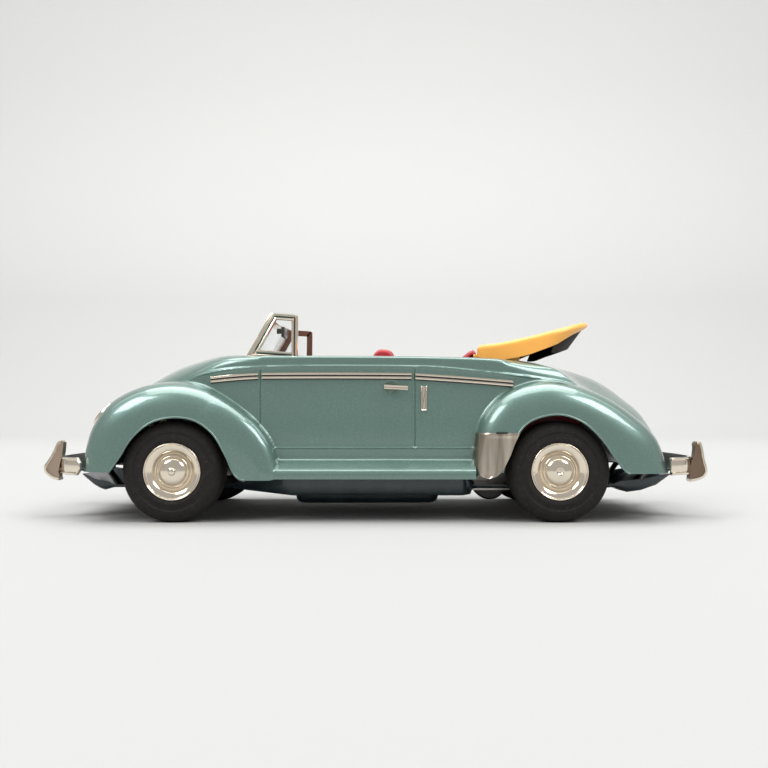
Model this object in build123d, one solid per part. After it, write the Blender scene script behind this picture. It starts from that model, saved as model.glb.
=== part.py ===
from build123d import *
from math import acos, atan2, cos, degrees, hypot, pi, radians, sin, tan
import os

# A friction-driven tin convertible. Millimetres; -X is the front, +Y the car's right, +Z up.
# The origin is on the ground under the middle of the car.

# Overall
LENGTH = 190.0
HALF_LENGTH = LENGTH / 2
TIN = 0.6
FIT = 0.06

# Wheels and axles
TYRE_R = 13.8
TYRE_WIDTH = 9.0
TYRE_Y = 30.0
RIM_R = 7.7
AXLE_R = 1.0
FRONT_AXLE_X = -55.2
REAR_AXLE_X = 50.0

# Body pressing
SIDE_Y = 30.0
FENDER_Y = 35.8
FENDER_ROUND = 7.5
FENDER_STEPS = 6
CROWN_STEPS = 14
BODY_BOTTOM_Z = 13.7
BOARD_Y = 35.0
BOARD_BOTTOM_Z = 11.8
BOARD_FRONT_X = -28.0
BOARD_REAR_X = 28.5

# Cabin
COCKPIT_FRONT_X = -21.0
COCKPIT_REAR_X = 30.0
COCKPIT_Y = 22.2
TUB_Y = 22.8
TUB_FRONT_X = -27.0
TUB_STEP_X = 16.0
TUB_REAR_X = 58.0
FLOOR_Z = 14.0
REAR_FLOOR_Z = 24.0

# Base pan
PAN_Y = 28.0
PAN_Z = 6.6
SPINE_Y = 19.5
SPINE_Z = 8.0
BULGE_Z = 3.2

# Steering
STEER_Y = -12.0
STEER_TILT = 35.0
STEER_BASE = Vector(TUB_FRONT_X + TIN + 2.2, STEER_Y, 34.0)
COLUMN_LENGTH = 8.0
COLUMN_R = 0.8
STEER_R = 6.2
STEER_RIM_R = 0.7
STEER_HUB_R = 1.6
STEER_HUB_LENGTH = 1.2

# Windshield
GLASS_Y = 24.3
SCREEN_FOOT = (-35.2, 44.0)
SCREEN_HEAD = (-28.9, 58.1)
SCREEN_BOW = 2.4
POST_X = -22.2
POST_FOOT_Z = 44.0
RAIL = 1.7
GLASS_THICK = 0.4
LOW_SHARE, HIGH_SHARE = 0.27, 0.88
WINDOW_SILL_Z = 48.0

# Folded top
TOP_Y = 22.5
TOP_REAR_ROUND = 14.0
BOOT_Y = 21.0

# Bumpers: the blade's plan points, its heights and the guards in front of it
BLADE_LINE = [(80.2, -32.6), (86.6, -28.0), (90.0, -20.0), (91.2, 0), (90.0, 20.0), (86.6, 28.0), (80.2, 32.6)]
BLADE_LOW_Z = 12.8
BLADE_HIGH_Z = 17.6
BLADE_THICK = 0.8
OVERRIDER_Y = 20.0
OVERRIDER_WIDTH = 3.8
ARM_Z = 12.95

# Lamps and side trim
HEADLIGHT_R = 4.7
HEADLIGHT_Y = -26.6
HEADLIGHT_X = -76.2
HEADLIGHT_Z = 29.8
HEADLIGHT_TILT = 41.0
LAMP_FACE = 1.2
LAMP_WELL = 0.8
TRIM_THICK = 0.7

# Motor
PLATE_Y = 8.0
PLATE_THICK = 0.8
ARBOR_R = 0.8
FLYWHEEL_X = 34.3
FLYWHEEL_Z = 8.9
FLYWHEEL_R = 5.3
MODULE = 0.5
PRESSURE = radians(20)
ADDENDUM = 0.8
DEDENDUM = 1.15
BACKLASH = 0.12
PLANE_A = (2.6, 5.0)
PLANE_B = (5.4, 7.2)
SPACERS = [(56.3, 8.4), (56.2, 20.2), (32.5, 19.5)]
SPACER_R = 1.2
AXLE_TEETH = 26
IDLER_PINION_TEETH = 10
IDLER_TEETH = 24
FLYWHEEL_PINION_TEETH = 10

# Fenders in the side view: the crown's outline and the wheel opening's edge
FRONT_FENDER = [(-79.6, 14.0), (-78.4, 24.0), (-71.5, 33.6), (-57.0, 38.0), (-43.0, 34.6), (-31.5, 25.5),
                (-26.5, 14.0)]
REAR_FENDER = [(26.4, 14.0), (28.2, 28.2), (35.5, 36.0), (47.5, 38.5), (62.0, 34.2), (74.5, 24.4),
               (79.6, 14.0)]
FRONT_ARCH = [(-71.6, 13.8), (-66.5, 22.3), (-55.0, 28.6), (-43.8, 23.6), (-38.6, 13.8)]
REAR_ARCH = [(34.4, 13.8), (38.6, 24.4), (48.8, 29.3), (60.4, 23.4), (67.8, 13.8)]

# Hull stations along the car: x, half width, shoulder height, crown height, squareness.
HULL_STATIONS = [
    (-83.0, 7.0, 16.0, 21.0, 2.2),
    (-79.5, 12.0, 18.0, 29.5, 2.2),
    (-73.0, 17.0, 21.5, 35.5, 2.3),
    (-64.0, 20.8, 27.5, 40.0, 2.4),
    (-55.0, 24.2, 34.0, 43.6, 2.7),
    (-46.0, 27.6, 39.0, 45.9, 2.9),
    (-36.0, 29.8, 41.8, 46.8, 3.2),
    (-22.0, 30.0, 42.3, 46.9, 3.3),
    (10.0, 30.0, 42.1, 46.7, 3.3),
    (34.0, 29.8, 40.2, 46.1, 3.3),
    (46.0, 28.0, 35.5, 45.2, 3.1),
    (58.0, 25.2, 28.0, 42.9, 2.7),
    (68.0, 21.6, 21.0, 39.1, 2.4),
    (77.0, 16.6, 16.5, 32.9, 2.2),
    (83.0, 10.0, 14.6, 24.5, 2.1),
    (85.2, 6.0, 14.3, 18.5, 2.1),
]


def side_prism(outline, y_low, y_high):
    """The solid whose side view in X and Z is the outline, between two Y planes."""
    plane = Plane.XZ.offset(-y_high)
    return extrude(plane * make_face(outline), amount=y_high - y_low)


def plan_prism(outline, z_low, z_high):
    """The solid whose plan in X and Y is the outline, between two heights."""
    return extrude(Plane.XY.offset(z_low) * make_face(outline), amount=z_high - z_low)


def block(x_low, x_high, y_low, y_high, z_low, z_high):
    """A rectangular block between three pairs of planes."""
    size = (x_high - x_low, y_high - y_low, z_high - z_low)
    middle = ((x_low + x_high) / 2, (y_low + y_high) / 2, (z_low + z_high) / 2)
    return Pos(*middle) * Box(*size)


def cross_bar(radius, x, z, y_low, y_high):
    """A round bar parallel to Y."""
    bar = Cylinder(radius, y_high - y_low, rotation=(90, 0, 0))
    return Pos(x, (y_low + y_high) / 2, z) * bar


def spun(outline, x, y, z, outward=1):
    """A solid of revolution about a Y axis; the outline holds (outward distance, radius)."""
    solid = revolve(Plane.YZ * make_face(outline), Axis.Y, 360)
    turn = 0 if outward > 0 else 180
    return Pos(x, y, z) * Rot(0, 0, turn) * solid


def on_both_sides(solid):
    """The solid on the car's left side and its mirror image on the right side."""
    return {"left": solid, "right": mirror(solid, Plane.XZ)}


def both_sides_in_one(solid):
    """The left solid and its mirror image as one node of two solids."""
    return Compound([solid, mirror(solid, Plane.XZ)])


# ---- body shell ----

def hull_section(x, half_width, shoulder, crown, square, grow, bottom):
    """A station's closed outline: flat floor, straight sides and a rounded crown."""
    width = half_width + grow
    rise = crown + grow - shoulder
    crown_points = []
    for step in range(CROWN_STEPS + 1):
        y = width * cos(pi * step / CROWN_STEPS)
        z = shoulder + rise * (1 - min(1.0, abs(y / width)) ** square) ** (1 / square)
        crown_points.append(Vector(x, y, z))
    right_foot = Vector(x, width, bottom)
    left_foot = Vector(x, -width, bottom)
    edges = [
        Edge.make_line(left_foot, right_foot),
        Edge.make_line(right_foot, crown_points[0]),
        Edge.make_spline(crown_points),
        Edge.make_line(crown_points[-1], left_foot),
    ]
    return Face(Wire(edges))


def hull(grow=0.0, bottom=BODY_BOTTOM_Z):
    """The centre body between the fenders as one solid, grown outwards by a distance."""
    last = len(HULL_STATIONS) - 1
    faces = []
    for index, (x, half_width, shoulder, crown, square) in enumerate(HULL_STATIONS):
        shift = -grow if index == 0 else grow if index == last else 0.0
        faces.append(hull_section(x + shift, half_width, shoulder, crown, square, grow, bottom))
    return Solid.make_loft([face.outer_wire() for face in faces], ruled=True)


def fender_outline(points, low_z):
    """A fender's side view: a smooth crown over a straight lower edge."""
    crown = Spline(*points)
    first, last = points[0], points[-1]
    legs = Polyline(last, (last[0], low_z), (first[0], low_z), first)
    return crown + legs


def inset_points(points, inset):
    """The fender's crown points moved towards the middle of the wheel opening."""
    middle_x = (points[0][0] + points[-1][0]) / 2
    middle_z = points[0][1]
    moved = []
    for x, z in points:
        reach = hypot(x - middle_x, z - middle_z)
        scale = (reach - inset) / reach
        moved.append((middle_x + (x - middle_x) * scale, middle_z + (z - middle_z) * scale))
    return moved


def fender(points, inset=0.0, low_z=BODY_BOTTOM_Z, inner_y=18.0):
    """One left fender as a bulge whose outer edge is rounded in steps round a quarter circle."""
    rounding = FENDER_ROUND - inset
    flat_y = FENDER_Y - FENDER_ROUND
    sections = [(inner_y, inset)]
    for step in range(FENDER_STEPS + 1):
        angle = pi / 2 * step / FENDER_STEPS
        sections.append((flat_y + rounding * sin(angle), inset + rounding * (1 - cos(angle))))
    wires = []
    for y, shrink in sections:
        outline = fender_outline(inset_points(points, shrink), low_z)
        wires.append((Plane.XZ.offset(y) * make_face(outline)).face().outer_wire())
    return Solid.make_loft(wires, ruled=True)


def arch_cut(points):
    """The wheel opening through a left fender's outer face."""
    first, last = points[0], points[-1]
    legs = Polyline(last, (last[0], 0), (first[0], 0), first)
    return side_prism(Spline(*points) + legs, -FENDER_Y - 2, -SIDE_Y + 4)


def running_board(inset=0.0):
    """The left running board's section, swept between the two fenders."""
    low = BOARD_BOTTOM_Z + inset
    outer = -BOARD_Y + inset
    section = Polyline((-27.5, low), (outer, low), (outer, 13.8 - inset), (-31.2 + inset, 16.2 - inset),
                       (-SIDE_Y + inset, 20.3), (-27.5, 20.3), (-27.5, low))
    face = Plane.YZ.offset(BOARD_FRONT_X - 4) * make_face(section)
    return extrude(face, amount=BOARD_REAR_X - BOARD_FRONT_X + 8)


def cockpit_opening():
    """The open top of the cabin."""
    hole = block(COCKPIT_FRONT_X, COCKPIT_REAR_X, -COCKPIT_Y, COCKPIT_Y, 30, 60)
    corners = hole.edges().filter_by(Axis.Z)
    return fillet(corners, 4)


def body_outer():
    """The outside of the whole body pressing, filled in."""
    left = fender(FRONT_FENDER) + fender(REAR_FENDER) + running_board()
    return hull() + left + mirror(left, Plane.XZ)


def body_shell(outer):
    """The pressed body: a thin shell, open below, with a cockpit and four wheel arches."""
    low_z = BODY_BOTTOM_Z - 8
    left = fender(FRONT_FENDER, TIN, low_z) + fender(REAR_FENDER, TIN, low_z) + running_board(TIN)
    arches = arch_cut(FRONT_ARCH) + arch_cut(REAR_ARCH)
    hollow = hull(-TIN, low_z) + left + mirror(left, Plane.XZ)
    sill = block(BOARD_FRONT_X, BOARD_REAR_X, -BOARD_Y + 1, -PAN_Y + TIN, BOARD_BOTTOM_Z, BOARD_BOTTOM_Z + TIN)
    shell = outer - hollow - arches - mirror(arches, Plane.XZ) - cockpit_opening()
    return shell + sill + mirror(sill, Plane.XZ)


# ---- base pan ----

def base_pan():
    """The pressed floor: a centre tray with a raised box below, a spine, two aprons and axle ears."""
    half = PAN_Y
    plan = Polyline((-40, -18), (-24, -half), (24, -half), (27, 3 - half), (27, half - 3), (24, half),
                    (-24, half), (-40, 18), (-40, -18))
    inner = offset(make_face(plan), -TIN)
    tray = plan_prism(plan, PAN_Z, BOARD_BOTTOM_Z)
    tray -= extrude(Plane.XY.offset(PAN_Z + TIN) * inner, amount=10)
    low_box = fillet(block(-24, 18.5, -14, 14, BULGE_Z, PAN_Z + TIN).edges().filter_by(Axis.Z), 5)
    low_box = fillet(low_box.faces().sort_by(Axis.Z)[0].edges(), 1.6)
    low_hollow = block(-24 + TIN, 18.5 - TIN, -14 + TIN, 14 - TIN, BULGE_Z + TIN, PAN_Z + 5)
    low_hollow = fillet(low_hollow.edges().filter_by(Axis.Z), 5 - TIN)
    spine_top = SPINE_Z + TIN
    front_run = Polyline((-85.2, 12.3), (-78, SPINE_Z), (-40, SPINE_Z), (-40, spine_top), (-77.8, spine_top),
                         (-84.8, 12.8), (-85.2, 12.3))
    rear_run = Polyline((27, SPINE_Z), (79, SPINE_Z), (86.4, 12.1), (86.0, 12.6), (78.8, spine_top),
                        (27, spine_top), (27, SPINE_Z))
    front = side_prism(front_run, -18, 18)
    rear = side_prism(rear_run, -SPINE_Y, SPINE_Y)
    ears = axle_ear(-17) + axle_ear(17)
    motor_window = block(27.8, 58.5, -PLATE_Y - 0.2, PLATE_Y + 0.2, 0, 10)
    return tray + low_box - low_hollow + front + rear + ears - motor_window


def axle_ear(y):
    """An upright ear that carries the front axle."""
    centre = (FRONT_AXLE_X, TYRE_R)
    top = ThreePointArc((centre[0] - 3, centre[1]), (centre[0], centre[1] + 3), (centre[0] + 3, centre[1]))
    legs = Polyline((centre[0] + 3, centre[1]), (centre[0] + 4.5, SPINE_Z + 0.2),
                    (centre[0] - 4.5, SPINE_Z + 0.2), (centre[0] - 3, centre[1]))
    ear = side_prism(top + legs, y - PLATE_THICK / 2, y + PLATE_THICK / 2)
    return ear - cross_bar(AXLE_R + FIT, *centre, y - 2, y + 2)


# ---- cabin ----

def cabin_tub(inside):
    """The pressed interior liner: footwell, raised rear floor and side walls."""
    outline = Polyline((TUB_FRONT_X, 60), (TUB_FRONT_X, FLOOR_Z), (TUB_STEP_X, FLOOR_Z),
                       (TUB_STEP_X, REAR_FLOOR_Z), (TUB_REAR_X, REAR_FLOOR_Z), (TUB_REAR_X, 60),
                       (TUB_FRONT_X, 60))
    hollow = Polyline((TUB_FRONT_X + TIN, 70), (TUB_FRONT_X + TIN, FLOOR_Z + TIN),
                      (TUB_STEP_X - TIN, FLOOR_Z + TIN), (TUB_STEP_X - TIN, REAR_FLOOR_Z + TIN),
                      (TUB_REAR_X - TIN, REAR_FLOOR_Z + TIN), (TUB_REAR_X - TIN, 70),
                      (TUB_FRONT_X + TIN, 70))
    tub = side_prism(outline, -TUB_Y, TUB_Y) - side_prism(hollow, -TUB_Y + TIN, TUB_Y - TIN)
    return tub & inside


def hollow_pressing(outline, y_low, y_high, low):
    """A prism made into a thin shell that is open below."""
    solid = side_prism(outline, y_low, y_high)
    inner = offset(make_face(outline), -TIN)
    hollow = extrude(Plane.XZ.offset(-y_high + TIN) * inner, amount=y_high - y_low - 2 * TIN)
    foot = solid.bounding_box()
    mouth = block(foot.min.X + 2, foot.max.X - 4, y_low + TIN, y_high - TIN, low - 1, low + 1)
    return solid - hollow - mouth


def front_seat():
    """The left front seat, a cushion and a leaning back with a rounded top."""
    low = FLOOR_Z + TIN
    outline = Polyline((3.0, low), (-17.5, low), (-18.5, 24.5), (-17.0, 26.0), (-4.0, 24.0), (-2.0, 44.5))
    top = ThreePointArc((-2.0, 44.5), (1.6, 48.4), (5.6, 45.5))
    back = Polyline((5.6, 45.5), (4.6, 30.0), (3.0, low))
    return hollow_pressing(outline + top + back, -21.0, -3.0, low)


def rear_seat():
    """The rear bench seat."""
    low = REAR_FLOOR_Z + TIN
    outline = Polyline((29.0, low), (16.6, low), (16.2, 31.5), (17.6, 33.0), (23.0, 32.0), (23.6, 45.5))
    top = ThreePointArc((23.6, 45.5), (25.6, 47.6), (27.5, 45.0))
    back = Polyline((27.5, 45.0), (28.8, 36.0), (29.0, low))
    return hollow_pressing(outline + top + back, -20.5, 20.5, low)


def dashboard(inside):
    """The instrument panel under the cowl, against the liner's front wall."""
    front = TUB_FRONT_X + TIN
    outline = Polyline((front, 36.5), (front + 1.6, 36.5), (front + 3.6, 44), (front + 3.6, 60), (front, 60),
                       (front, 36.5))
    panel = side_prism(outline, -TUB_Y + TIN, TUB_Y - TIN)
    return panel & inside


def wheel_frame():
    """The middle of the steering wheel, its Z axis rising along the column towards the driver."""
    tilt = radians(STEER_TILT)
    way = Vector(cos(tilt), 0, sin(tilt))
    return Plane(origin=STEER_BASE + way * COLUMN_LENGTH, x_dir=(0, 1, 0), z_dir=way)


def steering_column(panel):
    """The column from the instrument panel to the back of the wheel's hub."""
    rod = extrude(wheel_frame().offset(-STEER_HUB_LENGTH) * Circle(COLUMN_R), amount=-COLUMN_LENGTH - 3)
    return rod - panel - block(-40, TUB_FRONT_X + TIN, -30, 30, 0, 60)


def steering_wheel():
    """The rim, the hub and three spokes."""
    frame = wheel_frame()
    middle = -STEER_HUB_LENGTH / 2
    hub = frame * Pos(0, 0, middle) * Cylinder(STEER_HUB_R, STEER_HUB_LENGTH)
    wheel = frame * Torus(STEER_R, STEER_RIM_R) + hub
    for angle in (90, 210, 330):
        wheel += frame * Rot(0, 0, angle) * Pos(STEER_R / 2 + 0.5, 0, middle / 2) * Box(STEER_R - 1, 1.0, 0.6)
    return wheel


# ---- windshield ----

def bow_at(y):
    """How far forward of the side windows the bowed screen stands at a distance from the middle."""
    return SCREEN_BOW * (1 - (y / GLASS_Y) ** 2)


def screen_band(thick, half_width, low_share, high_share):
    """A bowed, raked sheet between two shares of the screen's height."""
    (foot_x, foot_z), (head_x, head_z) = SCREEN_FOOT, SCREEN_HEAD
    run = Vector(head_x - foot_x, 0, head_z - foot_z)
    edge_x = -bow_at(half_width)
    arc = ThreePointArc((edge_x, -half_width), (-SCREEN_BOW, 0), (edge_x, half_width))
    start = Vector(foot_x, 0, foot_z) + run * low_share
    face = Pos(start.X, start.Y, start.Z) * trace(arc, thick)
    return extrude(face, amount=run.length * (high_share - low_share), dir=run.normalized())


def quarter_sheet(inset, thick):
    """The left side window, or its frame before it is cut out, as a flat sheet."""
    corners = Polyline(SCREEN_FOOT, SCREEN_HEAD, (POST_X, 57.6), (POST_X, POST_FOOT_Z), SCREEN_FOOT)
    face = make_face(corners)
    if inset:
        low_cut = Pos(-30, POST_FOOT_Z) * Rectangle(40, 2 * (WINDOW_SILL_Z - POST_FOOT_Z))
        face = offset(face, -inset, kind=Kind.INTERSECTION) - low_cut
    return extrude(Plane.XZ.offset(GLASS_Y - thick / 2) * face, amount=thick)


def windshield_frame(outer):
    """The plated screen frame with its two side window frames, seated on the cowl."""
    side = quarter_sheet(0, 1.2) - quarter_sheet(RAIL, 3)
    front = screen_band(1.2, GLASS_Y + 0.2, 0, 1) - screen_band(4, GLASS_Y - RAIL, LOW_SHARE, HIGH_SHARE)
    frame = front + side + mirror(side, Plane.XZ)
    return frame - outer


def windshield_pane():
    """The clear bowed pane that fills the frame's front opening."""
    return screen_band(GLASS_THICK, GLASS_Y - RAIL, LOW_SHARE, HIGH_SHARE)


def rear_view_mirror():
    """The small mirror under the middle of the screen's top rail."""
    x = SCREEN_HEAD[0] - SCREEN_BOW + 1.0
    stem = block(x - 0.9, x + 0.9, -0.6, 0.6, 54.6, 56.2)
    glass = block(x + 0.9, x + 1.9, -4.0, 4.0, 53.4, 56.4)
    return (stem + glass) - screen_band(1.2, GLASS_Y, 0, 1)


# ---- folded top ----

def folded_top(outer, boot):
    """The folded top, a pressed tray open below that rises towards the rear."""
    upper = Spline((28.6, 49.1), (38.0, 50.1), (50.0, 52.9), (60.6, 55.6))
    rim = Polyline((60.6, 55.6), (61.4, 54.8), (58.0, 49.6))
    lower = Spline((58.0, 49.6), (50.0, 48.3), (41.2, 46.8), (32.0, 45.6))
    front = Polyline((32.0, 45.6), (28.2, 46.4), (28.6, 49.1))
    tray = side_prism(upper + rim + lower + front, -TOP_Y, TOP_Y)
    hollow_top = Spline((29.4, 48.3), (38.2, 49.2), (49.9, 52.0), (59.9, 54.6))
    hollow_legs = Polyline((59.9, 54.6), (57.2, 50.2), (57.2, 40.0), (29.4, 40.0), (29.4, 48.3))
    hollow = side_prism(hollow_top + hollow_legs, -TOP_Y + 0.8, TOP_Y - 0.8)
    plan = plan_round(26.0, 62.5, TOP_Y + 0.01, TOP_REAR_ROUND, 40, 60)
    inner_plan = plan_round(20.0, 61.7, TOP_Y - 0.8, TOP_REAR_ROUND - 0.8, 30, 62)
    return (tray & plan) - (hollow & inner_plan) - outer - boot


def plan_round(x_low, x_high, half_width, radius, z_low, z_high):
    """An upright block whose two rear corners are rounded in plan."""
    slab = block(x_low, x_high, -half_width, half_width, z_low, z_high)
    rear_corners = slab.edges().filter_by(Axis.Z).sort_by(Axis.X)[-2:]
    return fillet(rear_corners, radius)


def top_boot(outer):
    """The low platform on the rear deck that the folded top stands on."""
    slab = block(28.0, 41.4, -BOOT_Y, BOOT_Y, 42.0, 46.6)
    return slab - outer - block(20, COCKPIT_REAR_X + 1, -40, 40, 40, 45.2)


# ---- bumpers ----

def bumper_blade(nose=-1):
    """A bumper blade that curves back round the car's corners, for the front or the rear."""
    line = Spline(*BLADE_LINE)
    band = extrude(Pos(0, 0, BLADE_LOW_Z) * trace(line, BLADE_THICK), amount=BLADE_HIGH_Z - BLADE_LOW_Z)
    return band if nose > 0 else mirror(band, Plane.YZ)


def overrider(blade, nose=-1):
    """The left upright guard that stands in front of the blade."""
    back = Polyline((90.2, 10.4), (89.9, 13.0), (90.2, 17.8), (92.0, 20.6))
    top = ThreePointArc((92.0, 20.6), (92.8, 21.4), (93.8, 20.6))
    face = Spline((93.8, 20.6), (93.9, 17.6), (HALF_LENGTH, 14.0), (93.6, 11.4), (90.2, 10.4))
    guard = side_prism(back + top + face, -OVERRIDER_Y - OVERRIDER_WIDTH / 2, -OVERRIDER_Y + OVERRIDER_WIDTH / 2)
    if nose < 0:
        guard = mirror(guard, Plane.YZ)
    return guard - blade


def bumper_brackets(blade, nose=-1):
    """The two flat arms from the base pan to the blade."""
    spine_top = SPINE_Z + TIN
    arm_line = Polyline((69.0, spine_top), (75.5, spine_top), (78.6, ARM_Z), (92.0, ARM_Z), (92.0, ARM_Z + TIN),
                        (78.2, ARM_Z + TIN), (75.1, spine_top + TIN), (69.0, spine_top + TIN), (69.0, spine_top))
    arm = side_prism(arm_line, -17.0, -12.5)
    arms = arm + mirror(arm, Plane.XZ)
    beyond = block(60, 100, -40, 40, 0, 40) - plan_prism(blade_reach(), 0, 40)
    arms = arms - beyond
    if nose < 0:
        arms = mirror(arms, Plane.YZ)
    return arms - blade


def blade_reach():
    """The plan area on the car's side of the blade's middle line."""
    first, last = BLADE_LINE[0], BLADE_LINE[-1]
    return Spline(*BLADE_LINE) + Polyline(last, (50, last[1]), (50, first[1]), first)


# ---- lamps ----

def lamp_frame():
    """The left headlight's face, its Z axis pointing forwards and up."""
    tilt = radians(HEADLIGHT_TILT)
    return Plane(origin=(HEADLIGHT_X, HEADLIGHT_Y, HEADLIGHT_Z), x_dir=(0, 1, 0),
                 z_dir=(-cos(tilt), 0, sin(tilt)))


def headlight_bezel(outer):
    """The plated ring round the lamp, seated on the fender."""
    frame = lamp_frame()
    ring = frame * Pos(0, 0, LAMP_FACE - 3.0) * Cylinder(HEADLIGHT_R, 6.0)
    well = frame * Pos(0, 0, LAMP_FACE) * Cylinder(HEADLIGHT_R - 0.8, 2 * LAMP_WELL)
    return ring - well - outer


def headlight_lens():
    """The domed clear lens inside the ring."""
    frame = lamp_frame()
    lens_r = HEADLIGHT_R - 0.8
    floor = LAMP_FACE - LAMP_WELL
    dome_r = 8.0
    dome_centre = LAMP_FACE + 0.7 - dome_r
    dome = frame * Pos(0, 0, dome_centre) * Sphere(dome_r)
    return dome & frame * Pos(0, 0, floor + 2.5) * Cylinder(lens_r, 5.0)


def tail_light(outer):
    """The small red lamp on the back of a rear fender."""
    frame = Plane(origin=(75.2, -26.5, 23.4), x_dir=(0, 1, 0), z_dir=(0.80, 0, 0.60))
    return frame * Cylinder(2.0, 3.0) - outer


# ---- side trim ----

def trim_strip(skin, start, end, height=1.4):
    """A straight plated strip that follows the left side between two points in X and Z."""
    up = height / 2
    outline = Polyline((start[0], start[1] - up), (end[0], end[1] - up), (end[0], end[1] + up),
                       (start[0], start[1] + up), (start[0], start[1] - up))
    return side_prism(outline, -40, -15) & skin


def door_handle(outer):
    """The pull handle on the left door, on a round base."""
    grip = Pos(5.6, -SIDE_Y - 1.0, 36.8) * Box(6.6, 1.0, 1.25)
    base = cross_bar(1.0, 4.2, 36.9, -SIDE_Y - 0.6, -SIDE_Y + 0.5)
    return (grip + base) - outer


def semaphore(outer):
    """The upright plated trim behind the left door, with a bent tip at each end."""
    strip = block(12.5, 14.2, -SIDE_Y - 0.6, -SIDE_Y + 0.5, 30.6, 36.9)
    tips = block(12.5, 14.2, -SIDE_Y - 1.0, -SIDE_Y - 0.6, 30.6, 31.6)
    tips += block(12.5, 14.2, -SIDE_Y - 1.0, -SIDE_Y - 0.6, 35.9, 36.9)
    return (strip + tips) - outer


def stone_guard(outer):
    """The plated sheet on the front of the left rear fender."""
    thick = -0.4
    skin = fender(REAR_FENDER, thick, BODY_BOTTOM_Z - 1.2)
    edge = Spline((36.6, 20.5), (34.6, 14.3), (31.5, 11.9), (28.2, 12.9))
    legs = Polyline((28.2, 12.9), (24.0, 12.9), (24.0, 24.3), (38.7, 24.3), (36.6, 20.5))
    region = side_prism(edge + legs, -40, -SIDE_Y - 0.6)
    hollow = fender(REAR_FENDER, 0.0, BODY_BOTTOM_Z - 4)
    return (skin & region) - hollow - outer


# ---- wheels ----

def tyre(x, outward):
    """A plain rubber tyre with rounded shoulders."""
    half = TYRE_WIDTH / 2
    tread = half - 2.6
    shoulder_r = TYRE_R - 2.2
    outline = Polyline((-half + 0.6, RIM_R), (half - 0.6, RIM_R), (half, RIM_R + 1.2), (half, shoulder_r))
    outline += ThreePointArc((half, shoulder_r), (half - 0.8, TYRE_R - 0.65), (tread, TYRE_R))
    outline += Line((tread, TYRE_R), (-tread, TYRE_R))
    outline += ThreePointArc((-tread, TYRE_R), (-half + 0.8, TYRE_R - 0.65), (-half, shoulder_r))
    outline += Polyline((-half, shoulder_r), (-half, RIM_R + 1.2), (-half + 0.6, RIM_R))
    return spun(outline, x, outward * TYRE_Y, TYRE_R, outward)


def wheel_disc(x, outward):
    """The plated hub: a stepped cap, a rim inside the tyre and a boss on the axle."""
    half = TYRE_WIDTH / 2
    inner_r = RIM_R - 0.05
    cap = [(4.9, 0.0), (4.9, 1.0), (4.3, 1.3), (3.9, 3.2), (2.9, 4.0), (2.9, 4.9), (3.5, 5.2), (3.5, 5.9),
           (3.0, 6.2), (3.4, 6.9), (4.3, 7.3), (4.3, inner_r), (0.4 - half, inner_r)]
    back = [(0.4 - half, inner_r - 0.6), (2.4, inner_r - 0.6), (2.2, 2.4), (-half, 2.4), (-half, 0.0)]
    outline = Polyline(*cap, *back, cap[0])
    return spun(outline, x, outward * TYRE_Y, TYRE_R, outward) - axle(x)


def axle(x):
    """A plain steel axle that ends inside the two hub bosses."""
    return cross_bar(AXLE_R, x, TYRE_R, -TYRE_Y - 1.0, TYRE_Y + 1.0)


# ---- motor ----

def involute(angle):
    """The involute function."""
    return tan(angle) - angle


def gear_outline(teeth):
    """The outline of an involute gear centred on the origin, with a tooth centred on its X axis."""
    pitch_r = MODULE * teeth / 2
    base_r = pitch_r * cos(PRESSURE)
    tip_r = pitch_r + ADDENDUM * MODULE
    root_r = pitch_r - DEDENDUM * MODULE
    half_pitch_tooth = pi / (2 * teeth) - BACKLASH / (2 * pitch_r)
    start_r = max(base_r, root_r)
    flank = []
    for step in range(4):
        radius = start_r + (tip_r - start_r) * step / 3
        half = half_pitch_tooth + involute(PRESSURE) - involute(acos(min(1.0, base_r / radius)))
        flank.append((radius, half))
    root_half = min(flank[0][1], pi / teeth * 0.92)
    side = [(root_r, root_half)] + flank if root_r < start_r else flank
    points = []
    for tooth in range(teeth):
        middle = 2 * pi * tooth / teeth
        for radius, half in side:
            points.append((radius * cos(middle - half), radius * sin(middle - half)))
        for radius, half in reversed(side):
            points.append((radius * cos(middle + half), radius * sin(middle + half)))
    return points


def gear(teeth, x, z, turn, y_low, y_high):
    """A gear on a Y axis, its first tooth turned from +X towards +Z by an angle in degrees."""
    points = gear_outline(teeth)
    face = make_face(Polyline(*points, points[0]))
    face = Pos(x, z) * Rot(0, 0, turn) * face
    return extrude(Plane.XZ.offset(-y_high) * face, amount=y_high - y_low)


def centre_distance(teeth_a, teeth_b):
    """The distance between two meshing gears' axes."""
    return MODULE * (teeth_a + teeth_b) / 2


def idler_centre():
    """The idler arbor's place, above the line from the axle to the flywheel."""
    first = centre_distance(AXLE_TEETH, IDLER_PINION_TEETH)
    second = centre_distance(IDLER_TEETH, FLYWHEEL_PINION_TEETH)
    run_x, run_z = FLYWHEEL_X - REAR_AXLE_X, FLYWHEEL_Z - TYRE_R
    span = hypot(run_x, run_z)
    along = (first ** 2 - second ** 2 + span ** 2) / (2 * span)
    rise = (first ** 2 - along ** 2) ** 0.5
    unit_x, unit_z = run_x / span, run_z / span
    return REAR_AXLE_X + unit_x * along + unit_z * rise, TYRE_R + unit_z * along - unit_x * rise


IDLER_X, IDLER_Z = idler_centre()


def direction(from_x, from_z, to_x, to_z):
    """The angle from +X towards +Z of one point seen from another, in degrees."""
    return degrees(atan2(to_z - from_z, to_x - from_x))


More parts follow.
